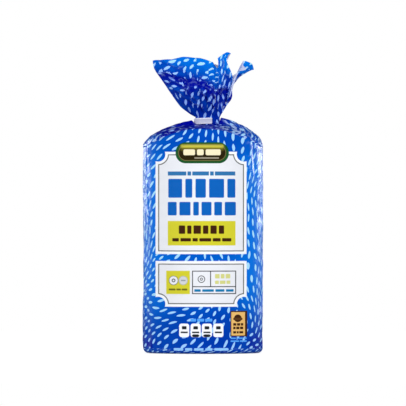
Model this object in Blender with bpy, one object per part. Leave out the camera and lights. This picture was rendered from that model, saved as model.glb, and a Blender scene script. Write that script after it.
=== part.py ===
"""A shut film pack of round puffed rice cakes, standing on its flat base.

The cakes are stacked on edge-to-edge faces inside a printed film tube. The film is folded flat under
the stack, drawn in over the top cake, gathered into a neck by a flat clip, and flares out above the
clip as a ruffled crown. The film cannot be seen through, so pack, neck and crown are one solid.

Metres, +Z up. The origin is on the resting face, on the axis of the stack. The printed front faces -Y.
"""

import math

import bmesh
import bpy
import numpy as np

# Driving dimensions.
CAKE_COUNT = 16
CAKE_PITCH = 0.0105
PACK_RADIUS = 0.049
FILM_LENGTH_ABOVE_CLIP = 0.056

# Heights that follow from the stack.
SHOULDER_HEIGHT = CAKE_COUNT * CAKE_PITCH
NECK_BASE_HEIGHT = SHOULDER_HEIGHT + 0.0190
NECK_TOP_HEIGHT = NECK_BASE_HEIGHT + 0.0064

# Base.
BASE_EDGE_RADIUS = 0.0040
BASE_EDGE_RINGS = 4

# Wall: the film lies on slightly uneven cakes.
WALL_RINGS = 12
WALL_UNEVENNESS = 0.00030
WALL_WAIST = 0.00025

# Roof: an apron of film in front and behind stands up to a crease, and the sides curve in.
APRON_RISE = 0.0182
APRON_SHARPNESS = 2.5
APRON_LEAN = 0.0026
ROOF_RINGS = 9
ROOF_FULLNESS = 1.2
ROOF_PLEATS = 16
ROOF_PLEAT_DEPTH = 0.0010

# Neck: the gathered bundle, a little right of the axis. The film puffs up round it as a collar, which
# stands higher at the two sides and leaves a pocket for the clip.
NECK_CENTRE_X = 0.0038
NECK_HALF_WIDTH = 0.0100
NECK_HALF_DEPTH = 0.0052
NECK_RINGS = 3
POCKET_MARGIN = 0.0026
COLLAR_MARGIN = 0.0032
COLLAR_SIDE_RISE = 0.0042
COLLAR_SHARPNESS = 4.0

# Crown: the film above the clip, spread as a fan that leans forward up to a knee and then back.
CROWN_RINGS = 14
CROWN_KNEE = 0.50
CROWN_KNEE_WIDTH = 0.24
CROWN_STATIONS = (0.0, 0.30, 0.42, 0.60, 1.0)
TROUGH_DEPTH = 0.012
TROUGH_SHARE = 0.35
TROUGH_STRIPS = 4

# Each fold line of the crown: its share of the way round from the front, the share of the film's length
# that shows, its sideways lean in degrees at the five stations from the clip to the rim, and its lean
# away from the middle below and above the knee.
CROWN_FOLDS = (
    (-0.250, 1.02, (-66, -39, -35, -34, -35), (0, 0)),
    (-0.215, 1.02, (-52, -34, -30, -28, -25), (14, -12)),
    (-0.120, 1.00, (-28, -18, -14, -11, -9), (28, -24)),
    (-0.045, 1.00, (-10, -6, -5, -4, -3), (34, -30)),
    (0.020, 0.96, (0, 2, 3, 4, 6), (36, -32)),
    (0.075, 0.86, (8, 8, 8, 6, 4), (34, -28)),
    (0.105, 0.96, (11, 11, 11, 6, -6), (24, -12)),
    (0.160, 0.99, (16, 18, 14, 8, 13), (12, 4)),
    (0.205, 0.60, (22, 24, 10, 0, 0), (10, -20)),
    (0.235, 0.95, (30, 36, -8, 24, 56), (4, -2)),
    (0.265, 0.96, (30, 36, -10, 38, 66), (0, -10)),
    (0.295, 0.60, (22, 24, 10, 0, 0), (-14, 14)),
    (0.350, 0.86, (14, 12, 10, 6, 2), (-34, 34)),
    (0.430, 0.84, (2, 2, 2, 0, 0), (-28, 16)),
    (0.500, 0.88, (-8, -6, -6, -4, -4), (-40, 36)),
    (0.580, 0.94, (-20, -16, -14, -10, -8), (-26, 10)),
    (0.680, 0.96, (-42, -28, -24, -22, -20), (-22, 20)),
)

# Clip: a flat strip folded round the neck, open at its right end.
CLIP_THICKNESS = 0.0008
CLIP_HEIGHT = 0.0049
CLIP_GAP = 0.0003
CLIP_LEFT_X = -0.0074
CLIP_RIGHT_X = 0.0075
CLIP_TILT = math.radians(-2.0)
CLIP_BEND_LENGTH = 0.0060
CLIP_BEND_SEGMENTS = 14

AROUND = 96


def angles():
    """Directions round the axis: 0 is the front (-Y) and a quarter turn is the right (+X)."""
    return np.arange(AROUND) * (2.0 * math.pi / AROUND)


def ring(x, y, z):
    """One closed ring of points."""
    return np.stack(np.broadcast_arrays(x, y, z), axis=1).astype(float)


def wall_radius(turn, height):
    """Radius of the film over the stack, the same at opposite sides so that the pack stays centred."""
    uneven = WALL_UNEVENNESS * np.cos(4.0 * turn + 40.0 * height) * np.sin(2.0 * turn) ** 2
    waist = WALL_WAIST * (1.0 - np.cos(2.0 * math.pi * height / SHOULDER_HEIGHT))
    return PACK_RADIUS - waist + uneven


def base_rings():
    """The rounded edge where the film turns under the lowest cake."""
    turn = angles()
    for k in range(BASE_EDGE_RINGS):
        bend = 0.5 * math.pi * k / BASE_EDGE_RINGS
        height = BASE_EDGE_RADIUS * (1.0 - math.cos(bend))
        radius = wall_radius(turn, 0.0) - BASE_EDGE_RADIUS * (1.0 - math.sin(bend))
        yield ring(radius * np.sin(turn), -radius * np.cos(turn), height)


def apron_height(turn):
    """Height at which the wall turns in over the top cake."""
    return SHOULDER_HEIGHT + APRON_RISE * np.abs(np.cos(turn)) ** APRON_SHARPNESS


def upright_ring(height):
    """The upright film at one height for each direction, leaning in a little above the top cake."""
    turn = angles()
    lean = APRON_LEAN * np.maximum(height - SHOULDER_HEIGHT, 0.0) / APRON_RISE
    radius = wall_radius(turn, np.minimum(height, SHOULDER_HEIGHT)) - lean
    return ring(radius * np.sin(turn), -radius * np.cos(turn), height)


def wall_rings():
    """The upright wall, from the base edge to the shoulders and the creases of the aprons."""
    top = apron_height(angles())
    for k in range(WALL_RINGS):
        yield upright_ring(BASE_EDGE_RADIUS + (top - BASE_EDGE_RADIUS) * k / WALL_RINGS)


def neck_ring(height, margin=0.0):
    """The gathered bundle of film, or a line round it."""
    turn = angles()
    x = NECK_CENTRE_X + (NECK_HALF_WIDTH + margin) * np.sin(turn)
    return ring(x, -(NECK_HALF_DEPTH + margin) * np.cos(turn), height)


def collar_ring():
    """The line on which the roof meets the pocket round the clip."""
    side_rise = COLLAR_SIDE_RISE * np.abs(np.sin(angles())) ** COLLAR_SHARPNESS
    return neck_ring(NECK_BASE_HEIGHT + side_rise, COLLAR_MARGIN)


def roof_rings():
    """The film drawn in from the wall to the collar, in pleats that run to the clip."""
    turn = angles()
    outer = upright_ring(apron_height(turn))
    inner = collar_ring()
    pleat = np.cos(ROOF_PLEATS * turn + 1.3 * np.sin(3.0 * turn)) - 1.0
    for k in range(ROOF_RINGS):
        bend = 0.5 * math.pi * k / ROOF_RINGS
        points = inner + (outer - inner) * math.cos(bend)
        rise = math.sqrt(1.0 - math.cos(bend) ** ROOF_FULLNESS)
        points[:, 2] = outer[:, 2] + (inner[:, 2] - outer[:, 2]) * rise
        points[:, 2] += ROOF_PLEAT_DEPTH * math.sin(2.0 * bend) * pleat
        yield points
    yield inner


def neck_rings():
    """The floor of the pocket and the straight stretch of the bundle that the clip holds."""
    yield neck_ring(NECK_BASE_HEIGHT, POCKET_MARGIN)
    for k in range(NECK_RINGS):
        yield neck_ring(NECK_BASE_HEIGHT + (NECK_TOP_HEIGHT - NECK_BASE_HEIGHT) * k / NECK_RINGS)


def carried_round(values):
    """Values given at the fold lines of the crown, carried smoothly round it."""
    turn = angles() / (2.0 * math.pi)
    share = np.array([fold[0] for fold in CROWN_FOLDS])
    place = (turn - share[0]) % 1.0
    ends = np.append(share - share[0], 1.0)
    values = np.append(values, values[0])
    left = np.clip(np.searchsorted(ends, place, side="right") - 1, 0, len(share) - 1)
    along = (place - ends[left]) / (ends[left + 1] - ends[left])
    along = along * along * (3.0 - 2.0 * along)
    return values[left] * (1.0 - along) + values[left + 1] * along


def crown_rings():
    """The fan above the clip: each fold line leans as CROWN_FOLDS says."""
    step = FILM_LENGTH_ABOVE_CLIP / CROWN_RINGS * carried_round([fold[1] for fold in CROWN_FOLDS])
    points = neck_ring(NECK_TOP_HEIGHT)
    yield points.copy()
    for k in range(CROWN_RINGS):
        along = (k + 0.5) / CROWN_RINGS
        bent = min(max((along - CROWN_KNEE) / CROWN_KNEE_WIDTH + 0.5, 0.0), 1.0)
        bent = bent * bent * (3.0 - 2.0 * bent)
        side_leans = [np.interp(along, CROWN_STATIONS, fold[2]) for fold in CROWN_FOLDS]
        front_leans = [fold[3][0] * (1.0 - bent) + fold[3][1] * bent for fold in CROWN_FOLDS]
        side = np.radians(carried_round(side_leans))
        front = np.radians(carried_round(front_leans))
        points[:, 0] += step * np.sin(side) * np.cos(front)
        points[:, 1] -= step * np.sin(front)
        points[:, 2] += step * np.cos(side) * np.cos(front)
        yield points.copy()


def add_ring(bm, points):
    """Adds one ring of vertices."""
    return [bm.verts.new(point) for point in points]


def bridge(bm, lower, upper):
    """Joins two rings of equal count with quads that face outwards."""
    for k in range(len(lower)):
        after = (k + 1) % len(lower)
        bm.faces.new((lower[k], lower[after], upper[after], upper[k]))


def close_trough(bm, rim):
    """Closes the crown with a shallow trough that runs between its front and back rims."""
    half = AROUND // 4
    left = (-half) % AROUND
    right = half
    rows = []
    for k in range(1, AROUND // 2):
        front = rim[(left + k) % AROUND]
        back = rim[(left - k) % AROUND]
        depth = min(TROUGH_DEPTH, TROUGH_SHARE * (front.co - back.co).length)
        row = [front]
        for strip in range(1, TROUGH_STRIPS):
            across = strip / TROUGH_STRIPS
            point = front.co.lerp(back.co, across)
            point.z -= depth * 4.0 * across * (1.0 - across)
            row.append(bm.verts.new(point))
        rows.append(row + [back])
    for row, following in zip(rows, rows[1:]):
        for strip in range(TROUGH_STRIPS):
            bm.faces.new((row[strip], following[strip], following[strip + 1], row[strip + 1]))
    for strip in range(TROUGH_STRIPS):
        bm.faces.new((rim[left], rows[0][strip], rows[0][strip + 1]))
        bm.faces.new((rim[right], rows[-1][strip + 1], rows[-1][strip]))


def material(name, colour, roughness):
    """A plain coated surface."""
    made = bpy.data.materials.new(name)
    made.use_nodes = True
    shader = made.node_tree.nodes["Principled BSDF"]
    shader.inputs["Base Color"].default_value = (*colour, 1.0)
    shader.inputs["Roughness"].default_value = roughness
    shader.inputs["Metallic"].default_value = 0.0
    return made


def finish(bm, name, finish_material):
    """Turns a bmesh into a smooth-shaded object with outward faces."""
    bmesh.ops.recalc_face_normals(bm, faces=bm.faces)
    mesh = bpy.data.meshes.new(name)
    bm.to_mesh(mesh)
    bm.free()
    mesh.shade_smooth()
    mesh.set_sharp_from_angle(angle=math.radians(40.0))
    mesh.materials.append(finish_material)
    made = bpy.data.objects.new(name, mesh)
    bpy.context.scene.collection.objects.link(made)
    return made


def build_pack():
    """The pack from its base to the rim of the crown, as one closed solid."""
    bm = bmesh.new()
    rings = [*base_rings(), *wall_rings(), *roof_rings(), *neck_rings(), *crown_rings()]
    lines = [add_ring(bm, points) for points in rings]
    for lower, upper in zip(lines, lines[1:]):
        bridge(bm, lower, upper)
    bm.faces.new(list(reversed(lines[0])))
    close_trough(bm, lines[-1])
    return finish(bm, "film_pack", material("printed_film", (0.01, 0.16, 0.78), 0.28))


def clip_outline():
    """Centre line of the clip seen from above: front leg, bend round the left of the neck, back leg."""
    depth = NECK_HALF_DEPTH + CLIP_GAP + 0.5 * CLIP_THICKNESS
    bend_x = CLIP_LEFT_X + 0.5 * CLIP_THICKNESS + CLIP_BEND_LENGTH
    line = [(CLIP_RIGHT_X, -depth)]
    for k in range(CLIP_BEND_SEGMENTS + 1):
        turn = math.pi * k / CLIP_BEND_SEGMENTS
        line.append((bend_x - CLIP_BEND_LENGTH * math.sin(turn), -depth * math.cos(turn)))
    line.append((CLIP_RIGHT_X, depth))
    return line


def build_clip():
    """The flat clip, an upright strip bent to a U round the neck and slightly tilted."""
    line = np.array(clip_outline())
    ahead = np.gradient(line, axis=0)
    ahead /= np.linalg.norm(ahead, axis=1)[:, None]
    out = np.stack([-ahead[:, 1], ahead[:, 0]], axis=1)
    middle = 0.5 * (NECK_BASE_HEIGHT + NECK_TOP_HEIGHT)
    bm = bmesh.new()
    sections = []
    for centre, side in zip(line, out):
        corners = []
        for across, up in ((-0.5, -0.5), (0.5, -0.5), (0.5, 0.5), (-0.5, 0.5)):
            spot = centre + side * across * CLIP_THICKNESS
            height = middle + up * CLIP_HEIGHT - math.tan(CLIP_TILT) * spot[0]
            corners.append(bm.verts.new((spot[0], spot[1], height)))
        sections.append(corners)
    for section, following in zip(sections, sections[1:]):
        bridge(bm, section, following)
    bm.faces.new(sections[0])
    bm.faces.new(list(reversed(sections[-1])))
    return finish(bm, "neck_clip", material("clip_white", (0.80, 0.80, 0.84), 0.45))


def main():
    """Builds every piece of the pack."""
    for old in list(bpy.data.objects):
        bpy.data.objects.remove(old)
    build_pack()
    build_clip()


main()
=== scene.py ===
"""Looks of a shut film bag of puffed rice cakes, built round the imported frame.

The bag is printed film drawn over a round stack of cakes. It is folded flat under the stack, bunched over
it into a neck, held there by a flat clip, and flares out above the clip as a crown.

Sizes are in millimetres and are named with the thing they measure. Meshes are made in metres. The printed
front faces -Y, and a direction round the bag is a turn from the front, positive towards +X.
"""

import logging
import math
from dataclasses import dataclass, field, replace
from enum import Enum
from functools import reduce
from typing import Iterable, Optional, Sequence, Union

import bpy
import numpy as np
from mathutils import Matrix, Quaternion, Vector


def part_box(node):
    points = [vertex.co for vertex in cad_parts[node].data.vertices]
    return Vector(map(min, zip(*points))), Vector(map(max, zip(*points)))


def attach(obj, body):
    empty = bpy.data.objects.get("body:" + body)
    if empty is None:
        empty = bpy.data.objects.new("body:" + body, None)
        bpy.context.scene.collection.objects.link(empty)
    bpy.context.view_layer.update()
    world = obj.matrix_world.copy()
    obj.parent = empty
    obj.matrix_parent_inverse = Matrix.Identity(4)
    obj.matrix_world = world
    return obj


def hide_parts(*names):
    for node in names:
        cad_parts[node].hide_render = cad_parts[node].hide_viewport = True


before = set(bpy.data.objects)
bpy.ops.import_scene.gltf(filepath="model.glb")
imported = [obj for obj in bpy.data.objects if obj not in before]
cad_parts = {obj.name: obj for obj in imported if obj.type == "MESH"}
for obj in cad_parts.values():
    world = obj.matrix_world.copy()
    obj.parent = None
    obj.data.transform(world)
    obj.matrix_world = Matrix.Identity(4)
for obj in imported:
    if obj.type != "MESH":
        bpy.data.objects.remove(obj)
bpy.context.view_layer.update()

LOG = logging.getLogger("rice_cake_bag")
MM = 0.001
FILM_NODE = "film_pack"
CLIP_NODE = "neck_clip"

Colour = tuple[float, float, float]
Number = Union[float, "Term"]


def tone(red: int, green: int, blue: int) -> Colour:
    """Turns a tone given on the usual 0 to 255 scale into scene-linear values.

    Args:
        red, green, blue: The tone's three values, as a colour chart lists them.

    Returns:
        The same tone as three linear values.
    """
    shares = [value / 255.0 for value in (red, green, blue)]
    return tuple(s / 12.92 if s <= 0.04045 else ((s + 0.055) / 1.055) ** 2.4 for s in shares)


# ---------------------------------------------------------------------------------------------------
# Formulas in node trees
# ---------------------------------------------------------------------------------------------------


@dataclass(frozen=True)
class Term:
    """A number that varies over a surface: one output socket of a shader or geometry tree."""

    tree: bpy.types.NodeTree
    socket: bpy.types.NodeSocket

    def math(self, operation: str, *others: Number, clamp: bool = False) -> "Term":
        """Applies one Math node.

        Args:
            operation: The Math node's operation.
            others: The operands after this one.
            clamp: Whether the result is kept between 0 and 1.

        Returns:
            The result.
        """
        return maths(self.tree, operation, self, *others, clamp=clamp)

    def __add__(self, other: Number) -> "Term":
        """Sum."""
        return self.math("ADD", other)

    def __radd__(self, other: float) -> "Term":
        """Sum, with the plain number first."""
        return self.math("ADD", other)

    def __sub__(self, other: Number) -> "Term":
        """Difference."""
        return self.math("SUBTRACT", other)

    def __rsub__(self, other: float) -> "Term":
        """Difference, with the plain number first."""
        return maths(self.tree, "SUBTRACT", other, self)

    def __mul__(self, other: Number) -> "Term":
        """Product."""
        return self.math("MULTIPLY", other)

    def __rmul__(self, other: float) -> "Term":
        """Product, with the plain number first."""
        return self.math("MULTIPLY", other)

    def __truediv__(self, other: Number) -> "Term":
        """Quotient."""
        return self.math("DIVIDE", other)

    def __pow__(self, other: Number) -> "Term":
        """Power."""
        return self.math("POWER", other)

    def __neg__(self) -> "Term":
        """The negative."""
        return self.math("MULTIPLY", -1.0)

    def size(self) -> "Term":
        """The value without its sign."""
        return self.math("ABSOLUTE")

    def sine(self) -> "Term":
        """Sine of an angle in radians."""
        return self.math("SINE")

    def cosine(self) -> "Term":
        """Cosine of an angle in radians."""
        return self.math("COSINE")

    def at_least(self, other: Number) -> "Term":
        """The larger of the two."""
        return self.math("MAXIMUM", other)

    def at_most(self, other: Number) -> "Term":
        """The smaller of the two."""
        return self.math("MINIMUM", other)

    def step(self, low: float, high: float) -> "Term":
        """Rises smoothly from 0 at low to 1 at high, or falls where low is the larger."""
        node = self.tree.nodes.new("ShaderNodeMapRange")
        node.interpolation_type = "SMOOTHSTEP"
        join(self.tree, self, node.inputs["Value"])
        node.inputs["From Min"].default_value = low
        node.inputs["From Max"].default_value = high
        return Term(self.tree, node.outputs["Result"])


def join(tree: bpy.types.NodeTree, value: Union[Number, bpy.types.NodeSocket], slot: bpy.types.NodeSocket) -> None:
    """Sets an input socket to a plain number, a term or another socket.

    Args:
        tree: The tree that holds the socket.
        value: What the socket is given.
        slot: The input socket.
    """
    if isinstance(value, Term):
        tree.links.new(value.socket, slot)
    elif isinstance(value, bpy.types.NodeSocket):
        tree.links.new(value, slot)
    else:
        slot.default_value = value


def maths(tree: bpy.types.NodeTree, operation: str, *values: Number, clamp: bool = False) -> Term:
    """Adds one Math node.

    Args:
        tree: The tree to add to.
        operation: The Math node's operation.
        values: The operands.
        clamp: Whether the result is kept between 0 and 1.

    Returns:
        The result.
    """
    node = tree.nodes.new("ShaderNodeMath")
    node.operation = operation
    node.use_clamp = clamp
    for value, slot in zip(values, node.inputs):
        join(tree, value, slot)
    return Term(tree, node.outputs[0])


def vector(tree: bpy.types.NodeTree, x: Number, y: Number, z: Number = 0.0) -> bpy.types.NodeSocket:
    """Joins three numbers into a vector socket."""
    node = tree.nodes.new("ShaderNodeCombineXYZ")
    for value, slot in zip((x, y, z), node.inputs):
        join(tree, value, slot)
    return node.outputs[0]


def parts_of(tree: bpy.types.NodeTree, socket: bpy.types.NodeSocket) -> tuple[Term, Term, Term]:
    """Splits a vector socket into its three numbers."""
    node = tree.nodes.new("ShaderNodeSeparateXYZ")
    tree.links.new(socket, node.inputs[0])
    return tuple(Term(tree, out) for out in node.outputs)


def noise(tree: bpy.types.NodeTree, place: bpy.types.NodeSocket, scale: float, detail: float = 2.0) -> Term:
    """Soft noise from 0 to 1.

    Args:
        tree: The tree to add to.
        place: Where the noise is read.
        scale: Waves for each unit of place.
        detail: Number of finer layers.

    Returns:
        The noise value.
    """
    node = tree.nodes.new("ShaderNodeTexNoise")
    tree.links.new(place, node.inputs["Vector"])
    node.inputs["Scale"].default_value = scale
    node.inputs["Detail"].default_value = detail
    return Term(tree, node.outputs[0])


def facets(tree: bpy.types.NodeTree, place: bpy.types.NodeSocket, scale: float) -> Term:
    """Distance to the nearest of many scattered points, which gives a surface of crumpled facets."""
    node = tree.nodes.new("ShaderNodeTexVoronoi")
    tree.links.new(place, node.inputs["Vector"])
    node.inputs["Scale"].default_value = scale
    return Term(tree, node.outputs["Distance"])


class NodeGroup:
    """A shader node group under construction, with named inputs and outputs."""

    def __init__(self, name: str, numbers: Sequence[str], results: Sequence[str], vectors: Sequence[str] = ()) -> None:
        """Makes the group and its sockets.

        Args:
            name: The group's name.
            numbers: Names of its number inputs.
            results: Names of its number outputs.
            vectors: Names of its vector inputs.
        """
        self.tree = bpy.data.node_groups.new(name, "ShaderNodeTree")
        for label in vectors:
            self.tree.interface.new_socket(name=label, in_out="INPUT", socket_type="NodeSocketVector")
        for label in numbers:
            self.tree.interface.new_socket(name=label, in_out="INPUT", socket_type="NodeSocketFloat")
        for label in results:
            self.tree.interface.new_socket(name=label, in_out="OUTPUT", socket_type="NodeSocketFloat")
        self._source = self.tree.nodes.new("NodeGroupInput")
        self._sink = self.tree.nodes.new("NodeGroupOutput")

    def number(self, name: str) -> Term:
        """One of the group's number inputs."""
        return Term(self.tree, self._source.outputs[name])

    def place(self, name: str) -> bpy.types.NodeSocket:
        """One of the group's vector inputs."""
        return self._source.outputs[name]

    def give(self, name: str, value: Term) -> None:
        """Connects a value to one of the group's outputs."""
        self.tree.links.new(value.socket, self._sink.inputs[name])


def use_group(tree: bpy.types.NodeTree, group: bpy.types.NodeTree, **values: object) -> Term:
    """Places a node group in a tree and sets its inputs.

    Args:
        tree: The tree to add to.
        group: The group to place.
        values: The group's inputs, with underscores for the spaces in their names.

    Returns:
        The group's first output.
    """
    node = tree.nodes.new("ShaderNodeGroup")
    node.node_tree = group
    for name, value in values.items():
        join(tree, value, node.inputs[name.replace("_", " ")])
    return Term(tree, node.outputs[0])


# ---------------------------------------------------------------------------------------------------
# Shared effects
# ---------------------------------------------------------------------------------------------------


class Effect(Enum):
    """Shader node groups that more than one finish or print layer uses."""

    BOX = "Rounded Box Mask"
    GRAINS = "Scattered Grain Print"
    CRINKLE = "Film Crinkle Height"
    # Mask of painted highlights along folds.
    PAINTED_GLINTS = "Painted Fold Glint Mask"


class Effects:
    """Builds each shared effect once."""

    def __init__(self) -> None:
        """Builds all the groups."""
        self.groups = {
            Effect.BOX: self._box(),
            Effect.GRAINS: self._grains(),
            Effect.CRINKLE: self._crinkle(),
            Effect.PAINTED_GLINTS: self._painted_glints(),
        }

    def __getitem__(self, effect: Effect) -> bpy.types.NodeTree:
        """The node group of an effect."""
        return self.groups[effect]

    @staticmethod
    def _box() -> bpy.types.NodeTree:
        """Mask of an upright box with round corners and a soft edge, solid or drawn as a line, in millimetres."""
        names = ("Across", "Up", "Half Width", "Half Height", "Corner", "Line Width", "Soft")
        group = NodeGroup(Effect.BOX.value, names, ("Mask",))
        past_x = group.number("Across").size() - group.number("Half Width") + group.number("Corner")
        past_y = group.number("Up").size() - group.number("Half Height") + group.number("Corner")
        out_x, out_y = past_x.at_least(0.0), past_y.at_least(0.0)
        inside = past_x.at_least(past_y).at_most(0.0)
        distance = (out_x * out_x + out_y * out_y) ** 0.5 + inside - group.number("Corner")
        within = (0.5 - distance / group.number("Soft")).math("MULTIPLY", 1.0, clamp=True)
        line = (0.5 + (distance + group.number("Line Width")) / group.number("Soft")).math("MULTIPLY", 1.0, clamp=True)
        group.give("Mask", within * line)
        return group.tree

    @staticmethod
    def _grains() -> bpy.types.NodeTree:
        """Pale grains in bent rows: one grain in each cell of a sheared and warped lattice."""
        names = ("Pitch Along Row", "Row Pitch", "Length", "Width", "Swirl", "Row Bend")
        group = NodeGroup(Effect.GRAINS.value, names, ("Mask", "Chance"), ("Film",))
        tree = group.tree
        film = group.place("Film")
        across, up, _ = parts_of(tree, film)
        bend = group.number("Row Bend")
        warp_x = (noise(tree, vector(tree, across, up, 3.0), 0.016, 1.0) - 0.5) * bend
        warp_y = (noise(tree, vector(tree, across, up, 17.0), 0.016, 1.0) - 0.5) * bend
        slope = 0.42
        along = across + warp_x - up * slope
        over = up + warp_y + across * slope
        row = (over / group.number("Row Pitch")).math("FLOOR")
        row_chance = tree.nodes.new("ShaderNodeTexWhiteNoise")
        row_chance.noise_dimensions = "1D"
        join(tree, row, row_chance.inputs["W"])
        shifted = along / group.number("Pitch Along Row") + Term(tree, row_chance.outputs["Value"])
        column = shifted.math("FLOOR")
        chance = tree.nodes.new("ShaderNodeTexWhiteNoise")
        chance.noise_dimensions = "2D"
        tree.links.new(vector(tree, column, row), chance.inputs["Vector"])
        random_x, random_y, random_turn = parts_of(tree, chance.outputs["Color"])
        off_x = (shifted - column - 0.5) * group.number("Pitch Along Row") - (random_x - 0.5) * 0.9
        off_y = (over / group.number("Row Pitch") - row - 0.5) * group.number("Row Pitch")
        off_y = off_y - (random_y - 0.5) * 1.2
        swirl = noise(tree, vector(tree, column, row, 5.0), 0.11, 1.0) - 0.5
        turn = 1.35 + swirl * group.number("Swirl") + (random_turn - 0.5) * 0.30
        long_way = off_x * turn.cosine() + off_y * turn.sine()
        short_way = off_y * turn.cosine() - off_x * turn.sine()
        longs = (long_way / group.number("Length") * 2.0).size() ** 2.2
        shorts = (short_way / group.number("Width") * 2.0).size() ** 1.4
        group.give("Mask", (longs + shorts).step(1.16, 0.84))
        group.give("Chance", Term(tree, chance.outputs["Value"]))
        return tree

    @staticmethod
    def _crinkle() -> bpy.types.NodeTree:
        """Fine crinkles of thin film: sharp, branching ridges over soft dents."""
        group = NodeGroup(Effect.CRINKLE.value, ("Scale",), ("Height",), ("Place",))
        tree = group.tree
        x, y, z = parts_of(tree, group.place("Place"))
        scale = group.number("Scale")
        place = vector(tree, x * scale, y * scale, z * scale)
        bend = noise(tree, place, 0.35, 1.0) - 0.5
        bent = vector(tree, x * scale + bend * 1.6, y * scale - bend * 1.6, z * scale + bend)
        ridge = 1.0 - (noise(tree, bent, 0.55, 2.0) - 0.5).size() * 4.0
        cells = facets(tree, bent, 0.6)
        group.give("Height", ridge.at_least(0.0) * 0.6 + cells * 0.5)
        return tree

    @staticmethod
    def _painted_glints() -> bpy.types.NodeTree:
        """Mask of painted highlights: thin, broken lines along folds."""
        group = NodeGroup(Effect.PAINTED_GLINTS.value, ("Scale", "Thinness"), ("Mask",), ("Place",))
        tree = group.tree
        x, y, z = parts_of(tree, group.place("Place"))
        scale = group.number("Scale")
        sway = noise(tree, vector(tree, x * scale, y * scale, z * scale), 0.5, 1.0) - 0.5
        bent = vector(tree, x * scale + sway * 2.0, y * scale, z * scale + sway * 2.0)
        ridge = 1.0 - (noise(tree, bent, 1.1, 1.5) - 0.5).size() * group.number("Thinness")
        broken = noise(tree, bent, 1.6, 1.0).step(0.38, 0.56)
        group.give("Mask", ridge.step(0.1, 0.8) * broken)
        return tree


# ---------------------------------------------------------------------------------------------------
# Shapes made by geometry trees
# ---------------------------------------------------------------------------------------------------

FILM_UV = "FilmPlace"
SLACK = "Slack"
# Painted shade and light on the film, with the deeper blue of stacked film.
SHADE_AND_LAYERS = "ShadeAndLayers"
ROOF = "Roof"
# Painted highlight on the film.
PAINTED_SHEEN = "PaintedSheen"


@dataclass(frozen=True)
class Surface:
    """A grid on its way to its place: the mesh and its two running shares, across and along."""

    mesh: bpy.types.NodeSocket
    across: Term
    along: Term


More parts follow.
